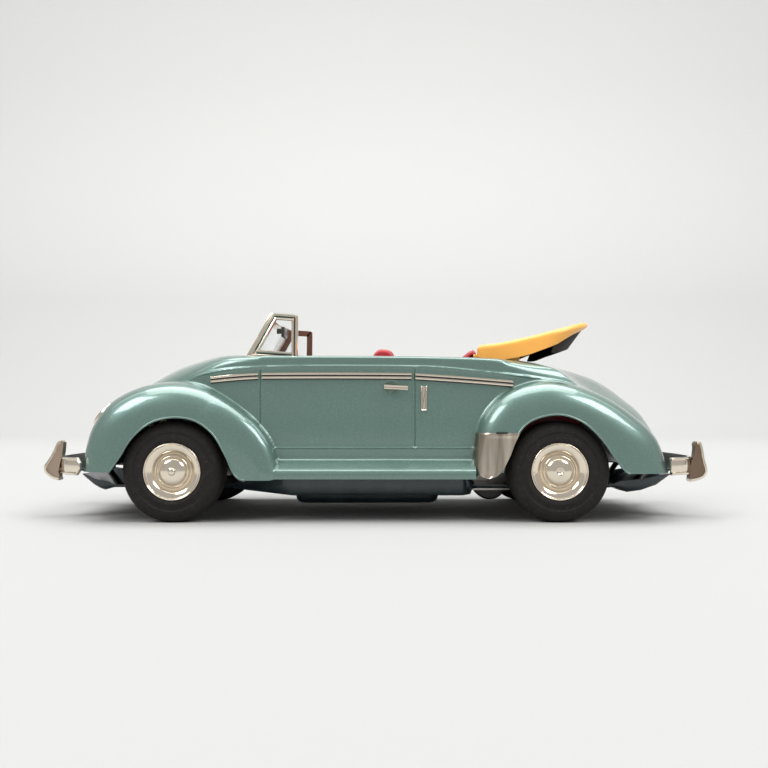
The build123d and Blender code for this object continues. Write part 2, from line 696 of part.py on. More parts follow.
def axle_gear():
    """The drive gear pressed on the rear axle."""
    turn = direction(REAR_AXLE_X, TYRE_R, IDLER_X, IDLER_Z)
    wheel = gear(AXLE_TEETH, REAR_AXLE_X, TYRE_R, turn, *PLANE_A)
    hub = cross_bar(2.2, REAR_AXLE_X, TYRE_R, PLANE_A[0] - 2.0, PLANE_A[1] + 0.2)
    return wheel + hub - axle(REAR_AXLE_X)


def idler_arbor():
    """The idler's shaft, held between the motor plates."""
    return cross_bar(ARBOR_R, IDLER_X, IDLER_Z, -PLATE_Y - 0.1, PLATE_Y + 0.1)


def idler_gear():
    """The idler's small pinion and large gear in one piece."""
    back = direction(IDLER_X, IDLER_Z, REAR_AXLE_X, TYRE_R) + 180 / IDLER_PINION_TEETH
    onward = direction(IDLER_X, IDLER_Z, FLYWHEEL_X, FLYWHEEL_Z)
    pinion = gear(IDLER_PINION_TEETH, IDLER_X, IDLER_Z, back, PLANE_A[0] - 0.2, PLANE_B[0])
    wheel = gear(IDLER_TEETH, IDLER_X, IDLER_Z, onward, *PLANE_B)
    return pinion + wheel - idler_arbor()


def flywheel_arbor():
    """The flywheel's shaft."""
    return cross_bar(ARBOR_R, FLYWHEEL_X, FLYWHEEL_Z, -PLATE_Y - 0.1, PLATE_Y + 0.1)


def flywheel():
    """The heavy flywheel."""
    drum = cross_bar(FLYWHEEL_R, FLYWHEEL_X, FLYWHEEL_Z, -6.6, 2.2)
    rim = drum.edges().filter_by(GeomType.CIRCLE)
    return fillet(rim, 0.6) - flywheel_arbor()


def flywheel_pinion():
    """The pinion beside the flywheel."""
    back = direction(FLYWHEEL_X, FLYWHEEL_Z, IDLER_X, IDLER_Z) + 180 / FLYWHEEL_PINION_TEETH
    pinion = gear(FLYWHEEL_PINION_TEETH, FLYWHEEL_X, FLYWHEEL_Z, back, 2.2, PLANE_B[1])
    return pinion - flywheel_arbor()


def motor_plate(side):
    """One side plate of the motor with its bearing holes and two feet on the base pan."""
    outline = Polyline((29.0, 6.6), (57.5, 6.6), (58.0, 20.0), (54.0, 22.2), (33.0, 22.2), (29.0, 17.0),
                       (29.0, 6.6))
    low, high = sorted((side * (PLATE_Y - PLATE_THICK), side * PLATE_Y))
    plate = side_prism(outline, low, high)
    foot_low, foot_high = sorted((side * (PLATE_Y - 0.4), side * (PLATE_Y + 4.0)))
    spine_top = SPINE_Z + TIN
    for start, end in ((29.0, 33.0), (53.5, 57.5)):
        plate += block(start, end, foot_low, foot_high, spine_top, spine_top + PLATE_THICK)
    for radius, x, z in ((AXLE_R, REAR_AXLE_X, TYRE_R), (ARBOR_R, IDLER_X, IDLER_Z),
                         (ARBOR_R, FLYWHEEL_X, FLYWHEEL_Z)):
        plate -= cross_bar(radius + FIT, x, z, low - 5, high + 5)
    return plate


def motor_spacers():
    """The three pillars that tie the motor plates together."""
    reach = PLATE_Y - PLATE_THICK
    pillars = [cross_bar(SPACER_R, x, z, -reach, reach) for x, z in SPACERS]
    return Compound(pillars)


def axle_collars():
    """The four collars that keep the front axle centred between its ears."""
    collars = []
    for y in (-17 + 0.7, 17 - 1.9):
        ring = cross_bar(2.0, FRONT_AXLE_X, TYRE_R, y, y + 1.2)
        collars.append(ring - axle(FRONT_AXLE_X))
    return Compound(collars)


# ---- assembly ----

def all_parts():
    """Every sub-part under its node name."""
    outer = body_outer()
    inside = hull(-TIN, BODY_BOTTOM_Z - 8)
    boot = top_boot(outer)
    skin = hull(TRIM_THICK) - outer
    panel = dashboard(inside)
    parts = {
        "body_shell": body_shell(outer),
        "base_pan": base_pan(),
        "cabin_tub": cabin_tub(inside),
        "rear_seat": rear_seat(),
        "dashboard": panel,
        "steering_column": steering_column(panel),
        "steering_wheel": steering_wheel(),
        "windshield_frame": windshield_frame(outer),
        "windshield_pane": windshield_pane(),
        "quarter_panes": both_sides_in_one(quarter_sheet(RAIL, GLASS_THICK)),
        "tail_lights": both_sides_in_one(tail_light(outer)),
        "rear_view_mirror": rear_view_mirror(),
        "top_boot": boot,
        "folded_top": folded_top(outer, boot),
        "axle_gear": axle_gear(),
        "idler_gear": idler_gear(),
        "idler_arbor": idler_arbor(),
        "flywheel": flywheel(),
        "flywheel_pinion": flywheel_pinion(),
        "flywheel_arbor": flywheel_arbor(),
        "motor_plate_left": motor_plate(-1),
        "motor_plate_right": motor_plate(1),
        "motor_spacers": motor_spacers(),
        "front_axle": axle(FRONT_AXLE_X),
        "front_axle_collars": axle_collars(),
        "rear_axle": axle(REAR_AXLE_X),
    }
    paired = {
        "front_seat": front_seat(),
        "headlight_bezel": headlight_bezel(outer),
        "headlight_lens": headlight_lens(),
        "trim_fender": trim_strip(skin, (-46.1, 39.0), (-32.5, 40.0)),
        "trim_door": trim_strip(skin, (-31.5, 40.05), (9.9, 40.0)),
        "trim_rear": trim_strip(skin, (11.0, 39.9), (38.0, 37.9)),
        "door_handle": door_handle(outer),
        "semaphore": semaphore(outer),
        "stone_guard": stone_guard(outer),
    }
    for end, nose, x in (("front", -1, FRONT_AXLE_X), ("rear", 1, REAR_AXLE_X)):
        blade = bumper_blade(nose)
        parts[f"{end}_bumper"] = blade
        parts[f"{end}_bumper_brackets"] = bumper_brackets(blade, nose)
        paired[f"{end}_overrider"] = overrider(blade, nose)
        for side, outward in (("left", -1), ("right", 1)):
            parts[f"{end}_tyre_{side}"] = tyre(x, outward)
            parts[f"{end}_hub_{side}"] = wheel_disc(x, outward)
    for name, solid in paired.items():
        for side, copy in on_both_sides(solid).items():
            parts[f"{name}_{side}"] = copy
    return parts


os.makedirs("parts", exist_ok=True)
for name, solid in all_parts().items():
    export_step(solid, f"parts/{name}.step")
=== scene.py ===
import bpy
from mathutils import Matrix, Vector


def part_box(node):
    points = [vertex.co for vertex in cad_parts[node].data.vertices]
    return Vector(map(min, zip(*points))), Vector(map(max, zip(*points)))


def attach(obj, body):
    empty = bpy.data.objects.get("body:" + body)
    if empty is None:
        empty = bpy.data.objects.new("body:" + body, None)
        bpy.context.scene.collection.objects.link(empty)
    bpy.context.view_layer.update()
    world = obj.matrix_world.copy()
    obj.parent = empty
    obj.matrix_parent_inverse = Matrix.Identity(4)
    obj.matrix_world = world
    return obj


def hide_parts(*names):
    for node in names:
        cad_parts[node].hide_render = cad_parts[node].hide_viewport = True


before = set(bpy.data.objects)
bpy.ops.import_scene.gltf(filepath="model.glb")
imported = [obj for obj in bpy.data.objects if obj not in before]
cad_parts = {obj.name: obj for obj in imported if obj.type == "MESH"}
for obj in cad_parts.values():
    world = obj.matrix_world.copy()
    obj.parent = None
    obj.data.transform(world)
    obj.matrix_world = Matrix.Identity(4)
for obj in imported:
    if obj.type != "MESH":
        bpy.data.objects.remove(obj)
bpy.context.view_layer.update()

from contextlib import contextmanager
from math import cos, hypot, pi, radians, sin

import bmesh
import bpy
import numpy as np
from mathutils import Matrix, Vector

# A tin convertible with a friction motor. Sizes below are in millimetres, and meshes are scaled to metres.
MM = 0.001


def cad_middle(node):
    """The middle of a CAD node's box, in millimetres."""
    low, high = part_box(node)
    return [(a + b) / 2 / MM for a, b in zip(low, high)]


FRONT_X, _, AXLE_Z = cad_middle("front_tyre_left")
REAR_X = cad_middle("rear_tyre_left")[0]
TYRE_Y = cad_middle("rear_tyre_right")[1]
BOTTOM_Z = 13.7
SIDE_Y = 30.0
FENDER_Y = 35.8


# ---- curves ----

def smooth_line(points, steps=12):
    """Points along a smooth curve that passes through the given ones."""
    p = np.array(points, float)
    p = np.vstack([2 * p[0] - p[1], p, 2 * p[-1] - p[-2]])
    out = []
    for i in range(1, len(p) - 2):
        for t in np.linspace(0, 1, steps, endpoint=False):
            a, b, c, d = p[i - 1:i + 3]
            out.append(0.5 * (2 * b + (c - a) * t + (2 * a - 5 * b + 4 * c - d) * t ** 2
                              + (3 * b - a - 3 * c + d) * t ** 3))
    out.append(p[-2])
    return np.array(out)


def along(points):
    """A smooth function of x through points whose x always grows."""
    line = smooth_line(points)
    return lambda x: np.interp(x, line[:, 0], line[:, 1])


def ridge(distance, width):
    """A rounded ridge of height one about a line."""
    return np.exp(-(distance / width) ** 2)


# ---- the body's form ----

top_line = along([(-83.2, 13.7), (-82.7, 20.0), (-80.2, 28.4), (-74.0, 35.8), (-66.6, 40.2), (-57.8, 44.1),
                  (-46.0, 46.6), (-38.0, 46.7), (-30.0, 46.2), (-22.0, 46.0), (10.0, 45.8), (34.0, 45.3),
                  (45.0, 44.8), (55.0, 43.9), (63.5, 41.7), (69.7, 38.9), (75.4, 34.9), (81.1, 30.0),
                  (84.7, 23.6), (85.6, 17.5), (85.6, 13.7)])
plan_line = along([(-83.2, 0.0), (-82.7, 5.0), (-79.5, 11.5), (-73.0, 16.5), (-64.0, 20.6), (-55.0, 24.2),
                   (-46.0, 27.6), (-38.0, 29.6), (-30.0, 30.0), (0.0, 30.0), (30.0, 30.0), (38.0, 29.4),
                   (48.0, 27.6), (58.0, 25.2), (68.0, 21.6), (77.0, 16.6), (83.0, 10.0), (85.2, 4.0),
                   (85.6, 0.0)])
shoulder_line = along([(-84.0, 14.0), (-73.0, 20.0), (-64.0, 27.0), (-52.0, 36.0), (-40.0, 41.2),
                       (-22.0, 42.4), (10.0, 42.2), (30.0, 41.2), (40.0, 38.4), (50.0, 33.5), (60.0, 26.5),
                       (70.0, 20.0), (79.0, 15.5), (86.0, 14.0)])
square_line = along([(-84.0, 2.1), (-64.0, 2.4), (-50.0, 3.2), (-40.0, 4.6), (-34.0, 5.6), (-24.0, 11.0),
                     (28.0, 11.0), (38.0, 6.0), (50.0, 5.0), (66.0, 4.5), (80.0, 3.0), (86.0, 2.4)])

FENDERS = {
    "front": (FRONT_X, [(-81.4, 13.7), (-80.9, 20.0), (-78.8, 26.8), (-73.9, 33.1), (-66.0, 37.2),
                        (-56.5, 38.7), (-48.0, 37.4), (-40.0, 33.4), (-33.0, 27.6), (-28.4, 21.2),
                        (-26.2, 13.7)], [(-71.8, 13.7), (-69.4, 17.3), (-65.9, 22.8), (-61.1, 26.9),
                        (-55.2, 28.5), (-49.0, 27.7), (-44.0, 24.1), (-40.6, 18.6), (-38.2, 13.7)]),
    "rear": (REAR_X, [(26.4, 13.7), (26.9, 21.0), (29.0, 29.2), (35.0, 35.9), (44.0, 38.9), (52.0, 38.8),
                      (62.8, 35.2), (71.5, 29.7), (78.4, 23.0), (81.8, 13.7)],
             [(34.2, 13.7), (36.4, 20.2), (41.0, 26.9), (48.6, 29.3), (55.4, 27.6), (60.8, 23.0),
              (64.9, 17.2), (67.9, 13.7)]),
}


def radius_round(axle_x, points):
    """A crown's radius about a wheel's centre as a function of the angle from the car's rear."""
    line = smooth_line(points)
    dx, dz = line[:, 0] - axle_x, line[:, 1] - BOTTOM_Z
    angle = np.arctan2(dz, dx)
    order = np.argsort(angle)
    return lambda a: np.interp(a, angle[order], np.hypot(dx, dz)[order])


FENDER_RADII = {end: (x, radius_round(x, crown), radius_round(x, lip))
                for end, (x, crown, lip) in FENDERS.items()}


def blend_min(a, b, width):
    """The smaller of two distances, with a rounded valley between them."""
    h = np.clip(0.5 + 0.5 * (b - a) / width, 0, 1)
    return b * (1 - h) + a * h - width * h * (1 - h)


BODY_ENDS = (-83.2, 85.6)
LID_START = 42.0
LID_RUN = 12.0
LID_SWELL = 0.06
LID_SLANT = 0.8
LID_ROUND = 8.0
LID_EDGE_Y = 17.0
lid_drop = along([(30.0, 0.0), (40.0, 0.2), (47.0, 0.8), (52.0, 1.7), (60.0, 4.6), (68.0, 6.4), (74.0, 7.8),
                  (86.0, 9.5)])


def core_gap(x, y, z):
    """How far a point is outside the centre body, about; the rear deck's top is a rounded lid."""
    half = np.maximum(plan_line(x), 0.05)
    shoulder = shoulder_line(x)
    rise = np.maximum(top_line(x) - shoulder, 0.05)
    square = square_line(x)
    up = np.maximum(z - shoulder, 0)
    rise = rise * (1 + LID_SWELL * np.clip((x - LID_START) / LID_RUN, 0, 1))
    norm = ((np.abs(y) / half) ** square + (up / rise) ** square) ** (1 / square)
    reach = np.hypot(y, up)
    gap = reach * (1 - 1 / np.maximum(norm, 1e-6))
    share = (np.hypot(y, LID_ROUND) - LID_ROUND) / (hypot(LID_EDGE_Y, LID_ROUND) - LID_ROUND)
    lid = LID_SLANT * (z - top_line(x) + lid_drop(x) * share)
    gap = np.where(x > LID_START, np.maximum(gap, lid), gap)
    return np.where((x < BODY_ENDS[0]) | (x > BODY_ENDS[1]), 5.0, gap)


FENDER_ROOT_Y = 21.0
FENDER_SQUARE = 3.4
LIP_INSET = 4.0
CROWN_FALL = 3.5
CROWN_FALL_Y = 25.0
BLUNT_END = {"front": 5.5, "rear": 1.4}
BLUNT_ANGLE = 1.1


def fender_gap(end, x, y, z):
    """How far a point is outside a fender, about."""
    axle_x, crown, lip = FENDER_RADII[end]
    dx, dz = x - axle_x, z - BOTTOM_Z
    angle = np.arctan2(np.maximum(dz, 0), dx)
    radius = np.hypot(dx, dz)
    inner = lip(angle) - LIP_INSET
    side = np.abs(y)
    fall = np.clip((CROWN_FALL_Y - side) / 10.0, 0, 1.5) ** 2
    outer = crown(angle) - CROWN_FALL * fall
    up, out = np.maximum(radius - inner, 0), np.maximum(side - FENDER_ROOT_Y, 0)
    from_end = angle if end == "front" else pi - angle
    square = FENDER_SQUARE + BLUNT_END[end] * np.clip(1 - from_end / BLUNT_ANGLE, 0, 1)
    norm = ((up / (outer - inner)) ** square + (out / (FENDER_Y - FENDER_ROOT_Y)) ** square) ** (1 / square)
    return np.where(norm > 1e-6, np.hypot(up, out) * (1 - 1 / np.maximum(norm, 1e-6)), -5.0)


BOARD_Y = 35.0
BOARD_TOP_OUT = 13.9
BOARD_TOP_IN = 16.4
BOARD_ROOT_Y = 31.0
BOARD_ROUND = 0.8
BOARD_ENDS = (-27.5, 27.3)


def board_gap(x, y, z):
    """How far a point is outside the running board, about."""
    slope = (BOARD_TOP_IN - BOARD_TOP_OUT) / (BOARD_Y - BOARD_ROOT_Y)
    over = (z - (BOARD_TOP_OUT + (BOARD_Y - np.abs(y)) * slope)) / np.hypot(1, slope)
    out = np.abs(y) - BOARD_Y
    ends = np.maximum(BOARD_ENDS[0] - x, x - BOARD_ENDS[1])
    low = np.maximum(over, out)
    corner = np.hypot(over + BOARD_ROUND, out + BOARD_ROUND) - BOARD_ROUND
    rounded = np.where((over > -BOARD_ROUND) & (out > -BOARD_ROUND), corner, low)
    return np.maximum(rounded, ends)


SEAM_BEAD = 0.15
SEAM_WIDTH = 0.34
SEAM_ROUND = 0.35
TAIL_SEAM_ROUND = 3.0


def body_gap(x, y, z):
    """How far a point is outside the whole pressed body, about."""
    core = core_gap(x, y, z)
    fender = np.minimum(fender_gap("front", x, y, z), fender_gap("rear", x, y, z))
    on_side = np.clip((np.abs(y) - 25.5) / 2.5, 0, 1) * (z > 14.5)
    bead = SEAM_BEAD * on_side * ridge((core - fender) / SEAM_WIDTH, 1.0)
    inboard = np.clip((25.0 - np.abs(y)) / 5.0, 0, 1) * np.clip((x - 50.0) / 10.0, 0, 1)
    gap = blend_min(core, fender, SEAM_ROUND + TAIL_SEAM_ROUND * inboard) - bead
    return blend_min(gap, board_gap(x, y, z), 0.5)


FRONT_ARCH = smooth_line([(-71.9, 13.7), (-69.4, 17.3), (-65.9, 22.8), (-61.1, 26.9), (-55.2, 28.5),
                          (-49.0, 27.7), (-44.0, 24.1), (-40.6, 18.6), (-38.9, 14.8), (-37.8, 12.9),
                          (-36.6, 11.9), (-35.2, 11.5)])
REAR_ARCH = smooth_line([(34.2, 13.6), (36.4, 20.2), (41.0, 26.9), (48.6, 29.3), (55.4, 27.6), (60.8, 23.0),
                         (64.9, 17.2), (67.2, 14.2), (68.6, 13.3)])
SILL = [(-28.2, 11.5), (-27.5, 11.8), (27.2, 11.8), (27.8, 13.0), (31.6, 13.0)]
LOWER_EDGE = np.vstack([[(-90.0, 13.7)], FRONT_ARCH, SILL, REAR_ARCH, [(90.0, 13.3)]])


# ---- meshes ----

def add_mesh(name, points, faces, material, smooth=35.0):
    """A mesh object from points in millimetres."""
    mesh = bpy.data.meshes.new(name)
    mesh.from_pydata([tuple(float(v) * MM for v in p) for p in points], [], faces)
    mesh.validate()
    obj = bpy.data.objects.new(name, mesh)
    bpy.context.scene.collection.objects.link(obj)
    mesh.materials.append(material)
    shade(obj, smooth)
    return obj


@contextmanager
def editing(obj):
    """An object's mesh opened for editing and written back."""
    bm = bmesh.new()
    bm.from_mesh(obj.data)
    yield bm
    bm.to_mesh(obj.data)
    bm.free()


def shade(obj, smooth):
    """Smooth shading, with edges sharper than an angle kept sharp."""
    limit = radians(smooth)
    with editing(obj) as bm:
        for face in bm.faces:
            face.smooth = True
        for edge in bm.edges:
            edge.smooth = len(edge.link_faces) == 2 and edge.calc_face_angle(0) < limit


def place(obj, body, slot, *nodes):
    """Makes a piece ride on a body and stand for CAD nodes, whose objects it hides; the finish slot is not
    used.
    """
    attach(obj, body)
    if nodes:
        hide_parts(*nodes)
    return obj


# ---- the body pressing ----

COCKPIT = (-21.0, 30.0, 22.2, 4.0)
NOSE_X, TAIL_X = -66.0, 66.0
DOOR_LINES = {-32.0: 27.0, 10.9: 20.1}
HANDLE_DISH = (4.2, 36.9, 2.0)
ROCKER_Z = 20.1
RIM_DEPTH = 1.2


def board_edge(x):
    """The lower edge's height: the sill, the arches' lips or the bottom of a fender."""
    return np.interp(x, LOWER_EDGE[:, 0], LOWER_EDGE[:, 1])


def leave_body(origin, way, gap=body_gap):
    """Where rays from inside the body pass through its surface for the last time, as x, y and z."""

    def point(reach):
        return [start + share * reach for start, share in zip(origin, way)]

    steps = np.linspace(46.0, 1.0, 91)
    outside = gap(*point(steps[:, None])) > 0
    first = np.argmin(outside, axis=0)
    low, high = steps[first], steps[np.maximum(first - 1, 0)]
    for _ in range(14):
        middle = (low + high) / 2
        out = gap(*point(middle)) > 0
        high = np.where(out, middle, high)
        low = np.where(out, low, middle)
    return point((low + high) / 2)


def cast(origin_x, way, angle):
    """The body's surface on rays fanned out round the car's middle line."""
    forward, sideways = way
    ways = (forward + 0 * angle, sideways * np.cos(angle), sideways * np.sin(angle))
    return leave_body((origin_x, 0.0, BOTTOM_Z), ways)


def side_y(x, z, gap=body_gap):
    """The body's half width at points given in the side view."""
    x, z = np.broadcast_arrays(np.asarray(x, float), np.asarray(z, float))
    flat = leave_body((x.ravel(), 0.0, z.ravel()), (0.0, 1.0, 0.0), gap)[1]
    return flat.reshape(x.shape)


def column_list():
    """Origin and direction of each column of the grid from the nose to the tail."""
    nose = [(NOSE_X, -cos(a), sin(a)) for a in np.linspace(0.012, pi / 2, 56)[:-1]]
    tail = [(TAIL_X, cos(a), sin(a)) for a in np.linspace(pi / 2, 0.012, 56)[1:]]
    spots = list(np.arange(NOSE_X, TAIL_X + 0.1, 0.5))
    for line in DOOR_LINES:
        spots += [line + step for step in (-0.75, -0.45, -0.28, -0.14, 0.0, 0.14, 0.28, 0.45, 0.75)]
    fixed = [COCKPIT[0], COCKPIT[1]] + [end + step for end in BOARD_ENDS for step in (-0.1, 0.1)]
    for end in COCKPIT[:2]:
        inward = 1 if end < 0 else -1
        fixed += [end + inward * COCKPIT[3] * (1 - cos(a)) for a in np.linspace(0.25, pi / 2, 6)]
    kept = sorted(fixed)
    for x in sorted(spots):
        if min(abs(x - other) for other in kept) > 0.12:
            kept.append(x)
            kept.sort()
    return nose + [(x, 0.0, 1.0) for x in kept] + tail


def opening_angle(x):
    """The ray angle of the cockpit's side edge, rounded in at its corners."""
    front, rear, half, corner = COCKPIT
    inside = np.minimum(x - front, rear - x)
    sunk = np.clip(corner - inside, 0, corner)
    y = half - corner + np.sqrt(corner ** 2 - sunk ** 2)
    return np.arctan2(top_line(np.clip(x, front, rear)) - 1.0 - BOTTOM_Z, y)


def row_angles():
    """Ray angles of the door's rows in degrees, closer together at the pressed lines."""
    marks = [(-3.1, 0.0, 5), (0.0, 0.9, 4), (0.9, 4.6, 5), (4.6, 5.4, 4), (5.4, 11.3, 8), (11.3, 13.1, 9),
             (13.1, 40.0, 46), (40.0, 43.0, 14), (43.0, 50.0, 38), (50.0, 56.0, 8)]
    rows = [-3.1]
    for start, end, count in marks:
        rows += list(np.linspace(start, end, count + 1)[1:])
    return np.radians(rows)


shoulder_crease = along([(-56.0, 37.6), (-50.0, 40.2), (-44.9, 41.3), (-39.3, 42.0), (-32.3, 42.45),
                         (-21.0, 42.7), (10.0, 42.6), (20.4, 42.1), (29.0, 41.2), (36.4, 40.5), (46.0, 39.4),
                         (52.0, 38.6)])


def pressed_depth(x, z):
    """How deep the side is pressed: door lines, rocker and shoulder beads and the handle's dish."""
    depth = np.zeros_like(x)
    for line, foot in DOOR_LINES.items():
        groove = (0.16 * ridge(x - line, 0.14) - 0.16 * ridge(x - line + 0.42, 0.2)
                  - 0.08 * ridge(x - line - 0.42, 0.2))
        depth += np.where((z > foot) & (z < 42.3), groove, 0)
    on_rocker = (x > -28.2) & (x < 27.2)
    depth -= np.where(on_rocker, 0.24 * ridge(z - ROCKER_Z, 0.26), 0)
    on_crease = np.clip((x + 54.0) / 6.0, 0, 1) * np.clip((50.0 - x) / 8.0, 0, 1)
    depth -= on_crease * 0.38 * ridge(z - shoulder_crease(x), 0.34)
    dish_x, dish_z, dish_r = HANDLE_DISH
    near = np.hypot(x - dish_x, z - dish_z) / dish_r
    return depth + 0.55 * np.clip(1 - near ** 2, 0, 1)


def body_grid():
    """Points of the left half's grid, by column and row, with each column's opening row."""
    columns = column_list()
    base = row_angles()
    split, last = radians(41.0), base[-1]
    roof_rows = np.linspace(0, 1, 49)[1:]
    scan = np.radians(np.linspace(-4.8, 60.0, 160))
    grid = []
    for origin, forward, sideways in columns:
        x, y, z = cast(origin, (forward, sideways), scan)
        short = np.nonzero(z < board_edge(x))[0]
        low = scan[0]
        if len(short):
            i = min(short[-1], len(scan) - 2)
            here, there = z[i] - board_edge(x)[i], z[i + 1] - board_edge(x)[i + 1]
            low = scan[i] + (scan[i + 1] - scan[i]) * here / (here - there) if there != here else scan[i]
        edge = float(opening_angle(np.array(origin)))
        lower = np.where(base < split, low + (base - base[0]) * (split - low) / (split - base[0]), base)
        lower = np.where(base > split, split + (base - split) * (edge - split) / (last - split), lower)
        angles = np.concatenate([lower, edge + (pi / 2 - edge) * roof_rows])
        x, y, z = cast(origin, (forward, sideways), angles)
        pressed = np.where(y > 22.0, pressed_depth(x, z), 0)
        grid.append(np.stack([x, -(y - pressed), z], axis=1))
    return columns, np.array(grid), len(base) - 1


def body_mesh(material):
    """The pressing as one sheet: both halves, the arches' turned-in lips and the cockpit's rim."""
    columns, grid, edge_row = body_grid()
    count, rows = grid.shape[:2]
    flange = grid[:, :1].copy()
    on_sill = (flange[:, 0, 0] > BOARD_ENDS[0]) & (flange[:, 0, 0] < BOARD_ENDS[1])
    flange[:, 0, 1] += np.where(on_sill, 6.4, 1.0)
    grid = np.concatenate([flange, grid], axis=1)
    edge_row += 1
    rows += 1
    points, faces = [], []
    mirrored = grid * np.array([1, -1, 1])
    for half in (grid, mirrored):
        points.extend(half.reshape(-1, 3).tolist())
    size = count * rows
    open_columns = [i for i, (x, forward, _) in enumerate(columns)
                    if forward == 0 and COCKPIT[0] - 0.01 <= x < COCKPIT[1] - 0.01]
    for side in (0, 1):
        for i in range(count - 1):
            for j in range(rows - 1):
                if i in open_columns and j >= edge_row:
                    continue
                a = side * size + i * rows + j
                quad = (a, a + rows, a + rows + 1, a + 1)
                faces.append(quad if side == 0 else quad[::-1])
    body = add_mesh("body_pressing", points, faces, material)
    with editing(body) as bm:
        bmesh.ops.remove_doubles(bm, verts=bm.verts, dist=0.02 * MM)
        rim = [edge for edge in bm.edges if edge.is_boundary and on_cockpit_rim(edge)]
        below = {}
        for vert in (vert for edge in rim for vert in edge.verts):
            if vert not in below:
                below[vert] = bm.verts.new(vert.co)
                below[vert].co.z -= RIM_DEPTH * MM
        for first, second in (edge.verts for edge in rim):
            bm.faces.new((first, second, below[second], below[first]))
        bmesh.ops.recalc_face_normals(bm, faces=bm.faces)
    return body


def on_cockpit_rim(edge):
    """Whether an edge lies on the cockpit opening."""
    middle = (edge.verts[0].co + edge.verts[1].co) / 2 / MM
    front, rear, half, _ = COCKPIT
    return front - 1 < middle.x < rear + 1 and abs(middle.y) < half + 1 and middle.z > 40


# ---- materials ----

def material(name, color, metallic=0.0, rough=0.4, coat=0.0, coat_rough=0.05, specular=0.5):
    """A node material with its Principled shader set; returns the material, its tree and the shader."""
    made = bpy.data.materials.new(name)
    made.use_nodes = True
    tree = made.node_tree
    shader = tree.nodes["Principled BSDF"]
    shader.inputs["Base Color"].default_value = (*color, 1)
    shader.inputs["Metallic"].default_value = metallic
    shader.inputs["Roughness"].default_value = rough
    shader.inputs["Coat Weight"].default_value = coat
    shader.inputs["Coat Roughness"].default_value = coat_rough
    shader.inputs["Specular IOR Level"].default_value = specular
    return made, tree, shader


def noise(tree, scale, detail=3.0, roughness=0.55):
    """A noise pattern in object space; scale is in cycles per metre."""
    coords = tree.nodes.new("ShaderNodeTexCoord")
    node = tree.nodes.new("ShaderNodeTexNoise")
    node.inputs["Scale"].default_value = scale
    node.inputs["Detail"].default_value = detail
    node.inputs["Roughness"].default_value = roughness
    tree.links.new(coords.outputs["Object"], node.inputs["Vector"])
    return node.outputs["Fac"]


def flecks(tree, scale):
    """A random value for each small cell, in object space."""
    coords = tree.nodes.new("ShaderNodeTexCoord")
    node = tree.nodes.new("ShaderNodeTexVoronoi")
    node.inputs["Scale"].default_value = scale
    tree.links.new(coords.outputs["Object"], node.inputs["Vector"])
    return node.outputs["Color"]


def ramp(tree, value, *stops):
    """A colour ramp of (position, colour) stops on a value."""
    node = tree.nodes.new("ShaderNodeValToRGB")
    elements = node.color_ramp.elements
    while len(elements) < len(stops):
        elements.new(0.5)
    for element, (position, color) in zip(elements, stops):
        element.position = position
        element.color = (*color, 1) if len(color) == 3 else color
    tree.links.new(value, node.inputs["Fac"])
    return node.outputs["Color"]


def ranged(tree, value, low, high, start=0.0, end=1.0):
    """A value mapped from start..end to low..high."""
    node = tree.nodes.new("ShaderNodeMapRange")
    node.inputs["From Min"].default_value = start
    node.inputs["From Max"].default_value = end
    node.inputs["To Min"].default_value = low
    node.inputs["To Max"].default_value = high
    tree.links.new(value, node.inputs["Value"])
    return node.outputs["Result"]


def patches(tree, scale, detail, low, high, start=0.0, end=1.0, roughness=0.55):
    """A noise pattern mapped from start..end to low..high."""
    return ranged(tree, noise(tree, scale, detail, roughness), low, high, start, end)


def mixed(tree, factor, first, second):
    """A colour mixed from one to another by a factor; either may be a constant or a socket."""
    node = tree.nodes.new("ShaderNodeMix")
    node.data_type = "RGBA"
    for socket, value in ((node.inputs[6], first), (node.inputs[7], second)):
        if isinstance(value, bpy.types.NodeSocket):
            tree.links.new(value, socket)
        else:
            socket.default_value = (*value, 1)
    tree.links.new(factor, node.inputs[0])
    return node.outputs[2]


def bumped(tree, shader, height, strength, distance, coat=False):
    """A bump from a height, in metres of depth, on the shader and on its coat if asked."""
    node = tree.nodes.new("ShaderNodeBump")
    node.inputs["Strength"].default_value = strength
    node.inputs["Distance"].default_value = distance
    tree.links.new(height, node.inputs["Height"])
    tree.links.new(node.outputs["Normal"], shader.inputs["Normal"])
    if coat:
        tree.links.new(node.outputs["Normal"], shader.inputs["Coat Normal"])


def finish(name, colors, clouds, sheen, bump, specks=None, coat_bump=False, **settings):
    """A material mixed from two colours by one noise pattern, its specks, roughness and bump from others."""
    made, tree, shader = material(name, colors[0], **settings)
    base = mixed(tree, patches(tree, *clouds), *colors)
    if specks:
        *pattern, speck_color = specks
        base = mixed(tree, patches(tree, *pattern), base, speck_color)
    tree.links.new(base, shader.inputs["Base Color"])
    tree.links.new(patches(tree, *sheen), shader.inputs["Roughness"])
    scale, detail, strength, distance = bump
    bumped(tree, shader, noise(tree, scale, detail), strength, distance, coat_bump)
    return made


